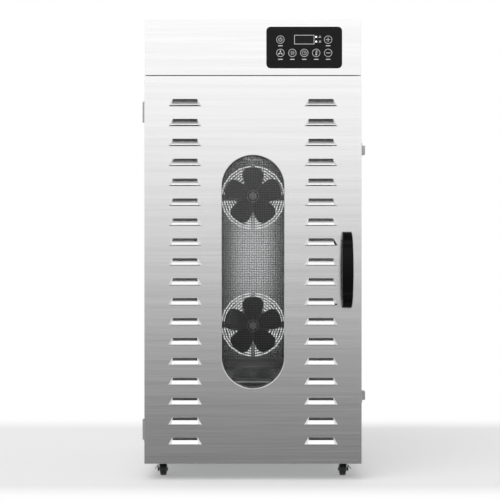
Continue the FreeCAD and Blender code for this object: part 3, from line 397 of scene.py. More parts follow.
@dataclass(frozen=True)
class SiliconeRubber(Finish):
    """Extruded silicone gasket: matt, slightly waxy, with dust in its pores.

    The dust's specks are drawn at 1.5 mm, coarser than the real ones, so that they show.
    """

    label: str = "silicone gasket"
    colour: str = "#5c5d5e"
    pores: str = "#4d4e4f"
    dust: float = 1.5 * MM

    def surface(self, tree: bpy.types.NodeTree) -> bpy.types.NodeSocket:
        """Fine dusty speckle on a matt body.

        Args:
            tree: the material's node tree.

        Returns:
            The shader output.
        """
        place = add_node(tree, "ShaderNodeTexCoord")
        dust = add_node(tree, "ShaderNodeTexNoise", {
            "Vector": place.outputs["Object"], "Scale": 1 / self.dust, "Detail": 4.0})
        tone = add_node(tree, "ShaderNodeMix", {
            0: dust.outputs["Fac"], 6: linear(self.pores), 7: linear(self.colour)}, data_type="RGBA")
        return add_node(tree, "ShaderNodeBsdfPrincipled", {
            "Base Color": tone.outputs[2], "Roughness": 0.6, "IOR": 1.43,
            "Sheen Weight": 0.15, "Sheen Roughness": 0.5}).outputs["BSDF"]


@dataclass(frozen=True)
class SilkScreenInk(Finish):
    """Two-part ink printed through a mesh: dense, matt, with a faint speckle of the mesh in its tone."""

    label: str = "printed ink"
    colour: str = "#d0d0d0"
    mesh: float = 0.4 * MM

    def surface(self, tree: bpy.types.NodeTree) -> bpy.types.NodeSocket:
        """Tone speckle at the printing mesh's pitch, drawn coarser than the real 0.1 mm.

        Args:
            tree: the material's node tree.

        Returns:
            The shader output.
        """
        place = add_node(tree, "ShaderNodeTexCoord")
        speckle = add_node(tree, "ShaderNodeTexNoise", {
            "Vector": place.outputs["Object"], "Scale": 1 / self.mesh, "Detail": 1.0})
        lift = add_node(tree, "ShaderNodeMapRange", {
            "Value": speckle.outputs["Fac"], "To Min": 0.9, "To Max": 1.1})
        tone = add_node(tree, "ShaderNodeHueSaturation", {
            "Value": lift.outputs["Result"], "Color": linear(self.colour)})
        return add_node(tree, "ShaderNodeBsdfPrincipled", {
            "Base Color": tone.outputs["Color"], "Roughness": 0.5}).outputs["BSDF"]


@dataclass(frozen=True)
class LitWindow(Finish):
    """Frosted window over a small lit diode or lamp: an even, slightly warm white glow."""

    label: str = "lit diode window"
    colour: str = "#fbfbf6"
    frosted: str = "#e8e8e2"
    frost: float = 1.0 * MM
    glow: float = 0.9

    def surface(self, tree: bpy.types.NodeTree) -> bpy.types.NodeSocket:
        """Glossy lens with its own light.

        Args:
            tree: the material's node tree.

        Returns:
            The shader output.
        """
        place = add_node(tree, "ShaderNodeTexCoord")
        frost = add_node(tree, "ShaderNodeTexNoise", {
            "Vector": place.outputs["Object"], "Scale": 1 / self.frost, "Detail": 2.0})
        tone = add_node(tree, "ShaderNodeMix", {
            0: frost.outputs["Fac"], 6: linear(self.frosted), 7: linear(self.colour)}, data_type="RGBA")
        return add_node(tree, "ShaderNodeBsdfPrincipled", {
            "Base Color": tone.outputs[2], "Roughness": 0.3, "Emission Color": linear(self.colour),
            "Emission Strength": self.glow}).outputs["BSDF"]


@dataclass(frozen=True)
class SmokedAcrylic(Finish):
    """Smoked acrylic filter over an unlit display: near black, glossy, with faint wipe marks."""

    label: str = "smoked acrylic display"
    colour: str = "#0e0f10"
    depths: str = "#0a0b0c"
    wipe: float = 6 * MM
    specular: float = 0.2

    def surface(self, tree: bpy.types.NodeTree) -> bpy.types.NodeSocket:
        """Dark body under a clear gloss.

        Args:
            tree: the material's node tree.

        Returns:
            The shader output.
        """
        place = add_node(tree, "ShaderNodeTexCoord")
        wipes = add_node(tree, "ShaderNodeTexNoise", {
            "Vector": place.outputs["Object"], "Scale": 1 / self.wipe, "Detail": 5.0})
        tone = add_node(tree, "ShaderNodeMix", {
            0: wipes.outputs["Fac"], 6: linear(self.depths), 7: linear(self.colour)}, data_type="RGBA")
        gloss = add_node(tree, "ShaderNodeMapRange", {
            "Value": wipes.outputs["Fac"], "To Min": 0.1, "To Max": 0.22})
        return add_node(tree, "ShaderNodeBsdfPrincipled", {
            "Base Color": tone.outputs[2], "Roughness": gloss.outputs["Result"],
            "IOR": 1.49, "Specular IOR Level": self.specular}).outputs["BSDF"]


@dataclass(frozen=True)
class CircuitLaminate(Finish):
    """Glass-fibre laminate under green solder mask: woven relief, glossy.

    The weave is drawn at 1.2 mm, coarser than the real one, so that it shows.
    """

    label: str = "circuit laminate"
    light: str = "#2f6b43"
    dark: str = "#24543a"
    weave: float = 1.2 * MM
    depth: float = 0.02 * MM

    def surface(self, tree: bpy.types.NodeTree) -> bpy.types.NodeSocket:
        """Checks stand for the woven fibre bundles, in tone and relief.

        Args:
            tree: the material's node tree.

        Returns:
            The shader output.
        """
        place = add_node(tree, "ShaderNodeTexCoord")
        weave = add_node(tree, "ShaderNodeTexChecker", {
            "Vector": place.outputs["Object"], "Color1": linear(self.light), "Color2": linear(self.dark),
            "Scale": 1 / self.weave})
        relief = add_node(tree, "ShaderNodeBump", {
            "Height": weave.outputs["Fac"], "Strength": 0.1, "Distance": self.depth})
        return add_node(tree, "ShaderNodeBsdfPrincipled", {
            "Base Color": weave.outputs["Color"], "Roughness": 0.3,
            "Normal": relief.outputs["Normal"]}).outputs["BSDF"]


@dataclass(frozen=True)
class HeaterSheath(Finish):
    """Nickel-alloy heater tube, oxidised by use: brown-grey with darker heat tints along it."""

    label: str = "oxidised heater sheath"
    cool: str = "#6e6a66"
    hot: str = "#4c423c"
    tint: float = 25 * MM

    def surface(self, tree: bpy.types.NodeTree) -> bpy.types.NodeSocket:
        """Slow tint bands along the tube, over a dull metal.

        Args:
            tree: the material's node tree.

        Returns:
            The shader output.
        """
        place = add_node(tree, "ShaderNodeTexCoord")
        tint = add_node(tree, "ShaderNodeTexNoise", {
            "Vector": place.outputs["Object"], "Scale": 1 / self.tint, "Detail": 3.0})
        tone = add_node(tree, "ShaderNodeMix", {
            0: tint.outputs["Fac"], 6: linear(self.hot), 7: linear(self.cool)}, data_type="RGBA")
        return add_node(tree, "ShaderNodeBsdfPrincipled", {
            "Base Color": tone.outputs[2], "Metallic": 0.8, "Roughness": 0.5}).outputs["BSDF"]


@dataclass(frozen=True)
class StudioFloor(Finish):
    """White seamless paper: matt, with painted shade round the cabinet, burnt out to plain white near and
    far.
    """

    label: str = "studio paper, painted shade band"
    # The paper's grey is the tone of the painted shade band round the cabinet.
    colour: str = "#e2e2e2"
    fibre: float = 30 * MM
    # Painted shade band: between near and far, in the floor's own Y, it fades into plain white for the eye.
    near: tuple[float, float] = (-0.42, -0.2)
    far: tuple[float, float] = (0.45, 0.8)
    # Least share of plain white inside the band: painted light that lightens the band and the cabinet's
    # shadow.
    lift: float = 0.26

    def surface(self, tree: bpy.types.NodeTree) -> bpy.types.NodeSocket:
        """Painted shade: matt grey-white round the cabinet, which fades into plain white for the eye.

        Args:
            tree: the material's node tree.

        Returns:
            The shader output.
        """
        place = add_node(tree, "ShaderNodeTexCoord")
        along = add_node(tree, "ShaderNodeSeparateXYZ", {0: place.outputs["Object"]})
        fibres = add_node(tree, "ShaderNodeTexNoise", {
            "Vector": place.outputs["Object"], "Scale": 1 / self.fibre, "Detail": 3.0})
        tone = add_node(tree, "ShaderNodeMapRange", {
            "Value": fibres.outputs["Fac"], "To Min": 0.99, "To Max": 1.01})
        shade = add_node(tree, "ShaderNodeHueSaturation", {
            "Value": tone.outputs["Result"], "Color": linear(self.colour)})
        # Painted shade: 0 inside the band round the cabinet, rising to 1 near and far.
        ends = []
        for (start, end), first in ((self.near, 1.0), (self.far, 0.0)):
            ends.append(add_node(tree, "ShaderNodeMapRange", {
                "Value": along.outputs["Y"], "From Min": start, "From Max": end,
                "To Min": first, "To Max": 1 - first}, interpolation_type="SMOOTHSTEP"))
        outside_shade_band = add_node(tree, "ShaderNodeMath", {
            0: ends[0].outputs["Result"], 1: ends[1].outputs["Result"]}, operation="MAXIMUM")
        # At least lift of plain white: painted light over the band and the shadow beneath the cabinet.
        white = add_node(tree, "ShaderNodeMath", {0: outside_shade_band.outputs[0], 1: self.lift}, operation="MAXIMUM")
        sight = add_node(tree, "ShaderNodeLightPath")
        share = add_node(tree, "ShaderNodeMath", {
            0: sight.outputs["Is Camera Ray"], 1: white.outputs[0]}, operation="MULTIPLY")
        paper = add_node(tree, "ShaderNodeBsdfDiffuse", {"Color": shade.outputs["Color"]})
        light = add_node(tree, "ShaderNodeEmission", {"Color": linear("#ffffff"), "Strength": 1.0})
        return add_node(tree, "ShaderNodeMixShader", {
            0: share.outputs[0], 1: paper.outputs[0], 2: light.outputs[0]}).outputs[0]


BRUSHED = BrushedStainless()
BRUSHED_LID = BrushedStainless(label="brushed stainless, lid", lie=Lie.LID)
INNER = RolledStainless()
WIRE = PlatedSteel(label="electropolished wire", light="#a8a8a6", dark="#868684", roughness=0.3)
GUARD_WIRE = PlatedSteel(label="guard wire", light="#8c8c8a", dark="#6f6f6e", roughness=0.42)
FITTING = PlatedSteel(label="hinge and catch, satin zinc", light="#cfcfcf", dark="#a4a4a4", roughness=0.4)
DRIP_PAN = RolledStainless(label="drip tray, dull stainless", light="#7e7e7c", dark="#6c6c6a", roughness=0.24)
PLATED = PlatedSteel()
MOTOR_ZINC = PlatedSteel(label="motor can, zinc-plated", light="#8d8f90", dark="#6f7172", roughness=0.4)
CASTER_ZINC = PlatedSteel(label="caster steel, zinc-plated", light="#b4b6b6", dark="#8a8c8c", roughness=0.3)
FAN_BLACK = MouldedPlastic("fan nylon", "#454546", roughness=0.34)
HANDLE_BLACK = MouldedPlastic("handle, satin black", "#060606", roughness=0.36, specular=0.12)
PANEL_BLACK = MouldedPlastic("key panel, matt black", "#101010", roughness=0.5, specular=0.2)
KEY_BLACK = MouldedPlastic("keys, matt black", "#101010", roughness=0.45, specular=0.2)
WHEEL_BLACK = MouldedPlastic("caster wheel polyurethane", "#1d1d1e", roughness=0.45)
LEVER_BLACK = MouldedPlastic("brake lever", "#202021", roughness=0.4)
GLAND_BLACK = MouldedPlastic("cord gland nylon", "#252526", roughness=0.42)
INK = SilkScreenInk()
SLOT_FINISH: dict[str, Finish] = {
    "brushed_sheet": BRUSHED,
    "inner_sheet": INNER,
    "zinc_sheet": GalvanisedSheet(),
    "wire": WIRE,
    "bright_steel": PLATED,
    "glass": PaneGlass(),
    "seal": SiliconeRubber(),
    "handle_black": HANDLE_BLACK,
    "panel_grey": PANEL_BLACK,
    "key_grey": KEY_BLACK,
    "display": SmokedAcrylic(),
    "board": CircuitLaminate(),
    "fan_black": FAN_BLACK,
    "motor_steel": MOTOR_ZINC,
    "heater_sheath": HeaterSheath(),
    "lamp": LitWindow(label="lit lamp cover", glow=8.0),
    "gland": GLAND_BLACK,
    "caster_steel": CASTER_ZINC,
    "caster_wheel": WHEEL_BLACK,
    "lever": LEVER_BLACK,
}


# ---- mesh tools ------------------------------------------------------------------------
def sharpen(shape: bmesh.types.BMesh, angle: float) -> None:
    """Shades every face smooth, apart from the edges that turn by more than an angle.

    Args:
        shape: the bmesh to shade.
        angle: angle in degrees from which an edge is sharp.
    """
    for face in shape.faces:
        face.smooth = True
    for edge in shape.edges:
        edge.smooth = edge.calc_face_angle(0.0) < math.radians(angle)


def add_piece(name: str, body: str, shape: bmesh.types.BMesh, finish: Finish,
              instead_of: str = "", crease: float = 35.0) -> bpy.types.Object:
    """Makes a finished piece of a bmesh, and lets it ride on its body.

    Args:
        name: the piece's name.
        body: the body that it moves with.
        shape: its shape in place, freed here.
        finish: what it is made of.
        instead_of: the CAD node that it stands for, if any.
        crease: angle in degrees from which an edge is sharp.

    Returns:
        The new object.
    """
    sharpen(shape, crease)
    mesh = bpy.data.meshes.new(name)
    shape.to_mesh(mesh)
    shape.free()
    mesh.materials.append(finish.material())
    piece = bpy.data.objects.new(name, mesh)
    bpy.context.scene.collection.objects.link(piece)
    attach(piece, body)
    if instead_of:
        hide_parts(instead_of)
    return piece


def eased_copy(node: str, radius: float, segments: int = 2, finish: Finish | None = None,
               crease: float = 30.0,
               reform: Callable[[bmesh.types.BMesh], None] | None = None) -> bpy.types.Object:
    """Stands in for a CAD node with the same shape and rounded edges.

    Args:
        node: the CAD node's name.
        radius: the edges' rounding in metres.
        segments: facets across a rounded edge.
        finish: what it is made of, or none for its slot's finish.
        crease: angle in degrees from which an edge is rounded.
        reform: finer shaping of the mesh before its edges are rounded, or none.

    Returns:
        The new object.
    """
    shape = bmesh.new()
    shape.from_mesh(NODES[node].data)
    bmesh.ops.remove_doubles(shape, verts=shape.verts, dist=WELD)
    bmesh.ops.dissolve_limit(shape, angle_limit=LEVEL_TURN, verts=shape.verts, edges=shape.edges)
    if reform:
        reform(shape)
    slot = SLOT_OF[node]
    piece = add_piece(node + ".eased", BODY_OF[node], shape, finish or SLOT_FINISH[slot], node, crease)
    ease = piece.modifiers.new("eased edges", "BEVEL")
    ease.width = radius
    ease.segments = segments
    ease.limit_method = "ANGLE"
    ease.angle_limit = math.radians(crease)
    ease.harden_normals = True
    return piece


def spin_profile(shape: bmesh.types.BMesh, profile: list[tuple[float, float]], centre: Vector,
                 axis: Vector, steps: int, closed: bool = False) -> None:
    """Turns a profile round an axis.

    Args:
        shape: the bmesh that gets the turned form.
        profile: (distance along the axis, radius) pairs in metres.
        centre: the axis's zero point.
        axis: the axis's direction.
        steps: facets round the turn.
        closed: joins the profile's last point to its first, for a ring.
    """
    across = axis.orthogonal().normalized()
    points = [shape.verts.new(centre + axis * along + across * radius) for along, radius in profile]
    edges = [shape.edges.new(pair) for pair in zip(points, points[1:])]
    if closed:
        edges.append(shape.edges.new((points[-1], points[0])))
    bmesh.ops.spin(shape, geom=points + edges, cent=centre, axis=axis, dvec=(0, 0, 0),
                   angle=math.tau, steps=steps, use_merge=True)
    bmesh.ops.remove_doubles(shape, verts=shape.verts, dist=WELD)
    bmesh.ops.recalc_face_normals(shape, faces=shape.faces)


def add_wire(shape: bmesh.types.BMesh, start: Vector, end: Vector, radius: float, sides: int = 6) -> None:
    """Adds a straight round wire between two points.

    Args:
        shape: the bmesh that gets the wire.
        start: middle of its first end.
        end: middle of its other end.
        radius: the wire's radius in metres.
        sides: facets round it.
    """
    along = end - start
    place = Matrix.Translation((start + end) / 2) @ along.to_track_quat("Z", "Y").to_matrix().to_4x4()
    bmesh.ops.create_cone(shape, cap_ends=True, segments=sides, radius1=radius, radius2=radius,
                          depth=along.length, matrix=place)


def add_frame(shape: bmesh.types.BMesh, size: tuple[float, float, float], border: float, corner: float,
              place: Matrix) -> None:
    """Adds a flat rectangular frame.

    Args:
        shape: the bmesh that gets the frame.
        size: outer width, outer height and thickness.
        border: width of its four sides.
        corner: cut across each outer corner, or 0.
        place: from the frame's own plane, centred on its lower face, to the model.
    """
    sheet = bmesh.new()
    bmesh.ops.create_grid(sheet, x_segments=1, y_segments=1, size=0.5)
    bmesh.ops.scale(sheet, vec=(size[0], size[1], 1), verts=sheet.verts)
    if corner:
        bmesh.ops.bevel(sheet, geom=sheet.verts[:], offset=corner, segments=1, profile=0.5,
                        affect="VERTICES", material=-1)
    middle = sheet.faces[:]
    bmesh.ops.inset_region(sheet, faces=middle, thickness=border, use_even_offset=True)
    bmesh.ops.delete(sheet, geom=middle, context="FACES_ONLY")
    raised = bmesh.ops.extrude_face_region(sheet, geom=sheet.faces[:])["geom"]
    top = [part for part in raised if isinstance(part, bmesh.types.BMVert)]
    bmesh.ops.translate(sheet, vec=(0, 0, size[2]), verts=top)
    bmesh.ops.recalc_face_normals(sheet, faces=sheet.faces)
    bmesh.ops.transform(sheet, matrix=place, verts=sheet.verts)
    loose = bpy.data.meshes.new("frame")
    sheet.to_mesh(loose)
    sheet.free()
    shape.from_mesh(loose)
    bpy.data.meshes.remove(loose)


def middle_of(node: str) -> Vector:
    """Middle of a CAD node's box."""
    low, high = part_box(node)
    return (low + high) / 2


def front_of(node: str) -> Vector:
    """Middle of the front of a CAD node's box."""
    low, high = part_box(node)
    return Vector(((low.x + high.x) / 2, low.y, (low.z + high.z) / 2))


def ray(turn: float, reach: float) -> tuple[float, float]:
    """Point at a distance from the middle, at a turn in degrees anticlockwise from +X."""
    return reach * math.cos(math.radians(turn)), reach * math.sin(math.radians(turn))


# ---- cabinet ---------------------------------------------------------------------------
@dataclass
class Cabinet:
    """Outer sheets of the cabinet and the small steel parts on them."""

    edge: float = 0.25 * MM

    def build(self) -> Pieces:
        """Rounds the outer sheets' folds and the fittings' edges.

        Returns:
            The new pieces.
        """
        pieces = [eased_copy(node, self.edge) for node in ("left_side_panel", "right_side_panel")]
        pieces.append(eased_copy("top_panel", self.edge, finish=BRUSHED_LID))
        pieces.append(eased_copy("header_fascia", self.edge))
        for node in ("door_catches", "cabinet_hinge_leaves"):
            pieces.append(eased_copy(node, self.edge, 1, FITTING))
        for node in ("rear_screws", "hinge_pins"):
            pieces.append(eased_copy(node, self.edge, 1))
        return pieces


# ---- door ------------------------------------------------------------------------------
@dataclass
class Door:
    """The door's outer sheet, its handle and its half of the hinges and catches."""

    sheet_edge: float = 0.5 * MM
    sheet_crease: float = 18.0
    face_ahead: float = 1.0 * MM  # the door's face stands this far ahead of the header's
    louver_fold: float = 0.56  # share of a louver's height at which its roof folds
    louver_bulge: float = 1.22 * MM
    louver_mouth: float = 1.3 * MM
    roof_out: float = 0.6  # least forward share of a louver roof's normal
    roof_up: tuple[float, float] = (0.3, 0.7)  # its upward share
    lip_lean: float = 0.6 * MM
    lip_proud: float = 1.0 * MM  # a vertex this far off the sheet belongs to a louver
    lip_height: tuple[float, float] = (1.0 * MM, 3.5 * MM)  # between its lower and upper edges
    lip_slack: float = 0.3 * MM  # a lip's lower and upper edges lie within this depth of each other
    level_slack: float = 0.2 * MM
    cut_slack: float = 0.01 * MM
    window_edge: float = 1.3 * MM
    window_edge_steps: int = 6
    window_slack: float = 0.1 * MM
    facing: float = 0.9  # least forward share of a face that counts as the sheet's front
    flat: float = 0.9999  # from this share on, a face is plain sheet and is shaded flat
    handle_edge: float = 1.6 * MM
    edge: float = 0.25 * MM

    def face_y(self) -> float:
        """Y of the outer sheet's face."""
        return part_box("header_fascia")[0].y - self.face_ahead

    def bulge_louvers(self, shape: bmesh.types.BMesh) -> None:
        """Folds every louver's sloping face outwards across its upper part, as the press leaves it.

        Args:
            shape: the door's outer sheet.
        """
        least, most = self.roof_up
        roofs = [face for face in shape.faces
                 if face.normal.y < -self.roof_out and least < face.normal.z < most]
        for roof in roofs:
            heights = [vert.co.z for vert in roof.verts]
            fold_z = min(heights) + (max(heights) - min(heights)) * self.louver_fold
            parts = [roof, *roof.edges, *roof.verts]
            cut = bmesh.ops.bisect_plane(
                shape, geom=parts, dist=self.cut_slack, plane_co=(0, 0, fold_z), plane_no=(0, 0, 1))
            fold = [part for part in cut["geom_cut"] if isinstance(part, bmesh.types.BMVert)]
            bmesh.ops.translate(shape, vec=(0, -self.louver_bulge, 0), verts=fold)

    def open_louvers(self, shape: bmesh.types.BMesh) -> None:
        """Lifts every louver's lip, so that its mouth shows from straight ahead, and leans the lip back.

        Args:
            shape: the door's outer sheet.
        """
        front = self.face_y() - self.lip_proud
        least, most = self.lip_height
        lips = {vert for vert in shape.verts if vert.co.y < front and all(
            edge.other_vert(vert).co.z - vert.co.z > -self.level_slack for edge in vert.link_edges)}
        tops = {edge.other_vert(vert) for vert in lips for edge in vert.link_edges
                if least < edge.other_vert(vert).co.z - vert.co.z < most
                and abs(edge.other_vert(vert).co.y - vert.co.y) < self.lip_slack}
        bmesh.ops.translate(shape, vec=(0, 0, self.louver_mouth), verts=list(lips | tops))
        bmesh.ops.translate(shape, vec=(0, self.lip_lean, 0), verts=list(tops))

    def roll_window_edge(self, shape: bmesh.types.BMesh) -> None:
        """Rolls the sheet round into the window's reveal with a broad soft edge.

        Args:
            shape: the door's outer sheet.
        """
        pane_low, pane_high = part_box("window_glass")
        face_y = self.face_y()
        rim = [edge for edge in shape.edges if all(
            abs(vert.co.y - face_y) < self.window_slack and pane_low.x < vert.co.x < pane_high.x
            and pane_low.z < vert.co.z < pane_high.z for vert in edge.verts)]
        beside = dict.fromkeys(side for edge in rim for side in edge.link_faces)
        bmesh.ops.triangulate(shape, faces=[side for side in beside if side.normal.y < -self.facing])
        bmesh.ops.bevel(shape, geom=rim, offset=self.window_edge, segments=self.window_edge_steps,
                        profile=0.5, affect="EDGES", material=-1)

    def reform_skin(self, shape: bmesh.types.BMesh) -> None:
        """Gives the outer sheet its pressed details.

        Args:
            shape: the door's outer sheet.
        """
        self.bulge_louvers(shape)
        self.open_louvers(shape)
        self.roll_window_edge(shape)

    def build(self) -> Pieces:
        """Rounds the pressed sheet, the moulded handle and the fittings.

        Returns:
            The new pieces.
        """
        skin = eased_copy("door_skin", self.sheet_edge, crease=self.sheet_crease, reform=self.reform_skin)
        for face in skin.data.polygons:
            face.use_smooth = abs(face.normal.y) < self.flat
        pieces = [skin]
        pieces.append(eased_copy("door_handle", self.handle_edge, 3))
        for node in ("door_hinge_leaves", "catch_strikes"):
            pieces.append(eased_copy(node, self.edge, 1, FITTING))
        return pieces


# ---- chamber ---------------------------------------------------------------------------
@dataclass
class FanGuard:
    """Welded wire guard in front of the fans: a flat frame with a square mesh.

    The real mesh is closer; it is drawn this open so that its wires show.
    """

    pitch: float = 5.4 * MM
    wire: float = 0.55 * MM
    border: float = 13 * MM
    foot: float = 19 * MM

    def build(self) -> Pieces:
        """Makes the frame and two layers of crossing wires.

        Returns:
            The new piece.
        """
        low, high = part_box("fan_screen")
        depth = high.y - low.y
        width, height = high.x - low.x, high.z - low.z
        shape = bmesh.new()
        upright = Matrix.Translation((0, high.y, (low.z + high.z) / 2)) @ Matrix.Rotation(math.pi / 2, 4, "X")
        add_frame(shape, (width, height, depth), self.border, 0.0, upright)
        plate = Vector((0, (low.y + high.y) / 2, low.z + self.foot / 2))
        bmesh.ops.create_cube(shape, size=1, matrix=Matrix.Translation(plate) @ Matrix.Diagonal(
            (width - 2 * self.border, depth, self.foot, 1)))
        clear_x = high.x - self.border
        floor_z, roof_z = low.z + self.foot, high.z - self.border
        columns = round(2 * clear_x / self.pitch)
        for number in range(1, columns):
            x = -clear_x + 2 * clear_x * number / columns
            y = low.y + self.wire
            add_wire(shape, Vector((x, y, floor_z)), Vector((x, y, roof_z)), self.wire)
        rows = round((roof_z - floor_z) / self.pitch)
        for number in range(1, rows):
            z = floor_z + (roof_z - floor_z) * number / rows
            y = low.y + 3 * self.wire
            add_wire(shape, Vector((-clear_x, y, z)), Vector((clear_x, y, z)), self.wire)
        return [add_piece("fan_guard_mesh", "cabinet", shape, GUARD_WIRE, "fan_screen")]


@dataclass
class Impeller:
    """Five broad twisted blades on a hub with a rounded shoulder."""

    level: str
    blades: int = 5
    thickness: float = 1.0 * MM
    smoothing: int = 2
    hub_radius: float = 14.5 * MM
    hub_length: float = 10 * MM
    hub_setback: float = 4.5 * MM  # from the shaft's front end to the hub's
    nut_recess: float = 5.8 * MM
    recess_depth: float = 1.0 * MM
    bore: float = 3.2 * MM
    trim_rings: tuple[tuple[float, float], ...] = ((5.9 * MM, 8.6 * MM), (12.6 * MM, 13.6 * MM))
    trim_span: tuple[float, float] = (-0.5 * MM, 1.4 * MM)
    facets: int = 40

    def sections(self) -> list[tuple[float, float, float, float]]:
        """Returns radius, chord, pitch in degrees and camber of the blade from root to tip."""
        rows = [(10, 16, 36, 1.0), (26, 46, 32, 2.5), (44, 60, 30, 3.5), (58, 58, 28, 2.5), (67, 30, 26, 0.6)]
        return [(r * MM, chord * MM, pitch, camber * MM) for r, chord, pitch, camber in rows]

    def hub_profile(self) -> list[tuple[float, float]]:
        """Half section of the hub: its nut's recess, flat nose, rounded shoulder, skirt and bore.

        Returns:
            (distance behind the nose, radius) pairs in metres.
        """
        nose = [(0.0, self.nut_recess), (0.0, 9.0 * MM), (0.6 * MM, 12.5 * MM), (2.2 * MM, 14.2 * MM)]
        skirt = [(3.5 * MM, self.hub_radius), (self.hub_length, self.hub_radius)]
        inside = [(self.hub_length, self.bore), (self.recess_depth, self.bore)]
        return [*nose, *skirt, *inside, (self.recess_depth, self.nut_recess)]

    def blade_sheet(self, middle: Vector) -> bmesh.types.BMesh:
        """Bends a grid into the blades, round a hub's middle.

        Args:
            middle: the hub's middle point.

        Returns:
            The blades as thin sheets.
        """
        rows = self.sections()
        sheet = bmesh.new()
        bmesh.ops.create_grid(sheet, x_segments=2, y_segments=len(rows) - 1, size=1)
        for vert in sheet.verts:
            radius, chord, pitch, camber = rows[round((vert.co.y + 1) / 2 * (len(rows) - 1))]
            across = vert.co.x * chord / 2
            along = -camber * (1 - abs(vert.co.x))
            turn = math.radians(pitch)
            vert.co = Vector((
                across * math.cos(turn) - along * math.sin(turn),
                across * math.sin(turn) + along * math.cos(turn),
                radius,
            ))
        first = sheet.faces[:]
        for number in range(1, self.blades):
            copied = bmesh.ops.duplicate(sheet, geom=first)["geom"]
            verts = [part for part in copied if isinstance(part, bmesh.types.BMVert)]
            spun = Matrix.Rotation(math.tau * number / self.blades, 3, "Y")
            bmesh.ops.rotate(sheet, cent=(0, 0, 0), matrix=spun, verts=verts)
        bmesh.ops.translate(sheet, vec=middle, verts=sheet.verts)
        return sheet

    def build(self) -> Pieces:
        """Makes blades, hub and the hub's bright trim.

        Returns:
            The three pieces.
        """
        node = f"fan_impeller_{self.level}"
        body = f"fan_{self.level}"
        nose = front_of(f"fan_shaft_{self.level}") + Vector((0, self.hub_setback, 0))
        middle = nose + Vector((0, self.hub_length / 2, 0))
        blades = add_piece(node + ".blades", body, self.blade_sheet(middle), FAN_BLACK, node)
        wall = blades.modifiers.new("wall", "SOLIDIFY")
        wall.thickness = self.thickness
        wall.offset = 0.0
        soft = blades.modifiers.new("soft outline", "SUBSURF")
        soft.levels = self.smoothing
        soft.render_levels = self.smoothing
        back = Vector((0, 1, 0))
        hub = bmesh.new()
        spin_profile(hub, self.hub_profile(), nose, back, self.facets, True)
        trim = bmesh.new()
        first, last = self.trim_span
        for inner, outer in self.trim_rings:
            ring = [(last, inner), (first, inner), (first, outer), (last, outer)]
            spin_profile(trim, ring, nose, back, self.facets, True)
        pieces = [blades, add_piece(node + ".hub", body, hub, FAN_BLACK)]
        return pieces + [add_piece(node + ".trim", body, trim, PLATED)]


@dataclass
class Motors:
    """The two fan motors as drawn steel cans with rolled shoulders."""

    radius: float = 36 * MM
    shoulder: float = 3 * MM
    roll: float = 0.9 * MM  # how far the shoulder's middle point lies inside its corner
    nose: float = 11 * MM
    nose_length: float = 4 * MM
    nose_chamfer: float = 1 * MM
    bore: float = 3.2 * MM
    bore_end: float = 8 * MM  # from the can's back
    facets: int = 48

    def can_profile(self, length: float) -> list[tuple[float, float]]:
        """Half section of a can: bored nose, rolled front shoulder, wall and rolled back shoulder.

        Args:
            length: from the nose's front to the can's back.

        Returns:
            (distance behind the nose, radius) pairs in metres.
        """
        inner, step, bottom = self.radius - self.shoulder, self.nose_length, length - self.bore_end
        nose = [(0.0, self.bore), (0.0, self.nose - self.nose_chamfer), (self.nose_chamfer, self.nose)]
        front = [(step, self.nose), (step, inner), (step + self.roll, self.radius - self.roll),
                 (step + self.shoulder, self.radius)]
        back = [(length - self.shoulder, self.radius), (length - self.roll, self.radius - self.roll),
                (length, inner), (length, 0.0)]
        return [*nose, *front, *back, (bottom, 0.0), (bottom, self.bore)]

    def build(self) -> Pieces:
        """Turns both cans.

        Returns:
            The new piece.
        """
        low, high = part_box("fan_motors")
        shape = bmesh.new()
        for level in ("lower", "upper"):
            start = Vector((0, low.y, middle_of(f"fan_shaft_{level}").z))
            spin_profile(shape, self.can_profile(high.y - low.y), start, Vector((0, 1, 0)), self.facets, True)
        return [add_piece("fan_motor_cans", "cabinet", shape, MOTOR_ZINC, "fan_motors")]


@dataclass
class TrayDecks:
    """Food trays: a flat rim with cut corners and a deck of welded wires.

    The real deck is a closer mesh; it is drawn this open so that its wires show.
    """

    rim: float = 12 * MM
    corner: float = 10 * MM
    pitch: float = 10 * MM
    wire: float = 0.8 * MM
    pan_edge: float = 0.3 * MM

    def build(self) -> Pieces:
        """Makes one piece per tray, and rounds the drip tray's folds.

        Returns:
            The new pieces.
        """
        decks = [self.tray(node) for node in ("tray_bottom", "tray_middle", "tray_top")]
        return [*decks, eased_copy("drip_tray", self.pan_edge, finish=DRIP_PAN)]

    def tray(self, node: str) -> bpy.types.Object:
        """Makes one tray in the place of its CAD node.

        Args:
            node: the tray's CAD node.

        Returns:
            The new piece.
        """
        low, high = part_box(node)
        middle = (low + high) / 2
        shape = bmesh.new()
        place = Matrix.Translation((middle.x, middle.y, low.z))
        add_frame(shape, tuple(high - low), self.rim, self.corner, place)
        in_x = (low.x + self.rim, high.x - self.rim)
        in_y = (low.y + self.rim, high.y - self.rim)
        columns = round((in_x[1] - in_x[0]) / self.pitch)
        for number in range(1, columns):
            x = in_x[0] + (in_x[1] - in_x[0]) * number / columns
            z = high.z - 2 * self.wire
            add_wire(shape, Vector((x, in_y[0], z)), Vector((x, in_y[1], z)), self.wire)
        rows = round((in_y[1] - in_y[0]) / self.pitch)
        for number in range(1, rows):
            y = in_y[0] + (in_y[1] - in_y[0]) * number / rows
            z = high.z - 4 * self.wire
            add_wire(shape, Vector((in_x[0], y, z)), Vector((in_x[1], y, z)), self.wire)
        return add_piece(node + ".deck", BODY_OF[node], shape, WIRE, node)


# ---- control panel ---------------------------------------------------------------------
class Symbol(Enum):
    """What a key does, by its CAD node's name."""

    POWER = "power_key"
    PLUS = "plus_key"
    FAN = "fan_key"
    LAMP = "lamp_key"
    TIMER = "timer_key"
    TEMPERATURE = "temperature_key"
    MINUS = "minus_key"


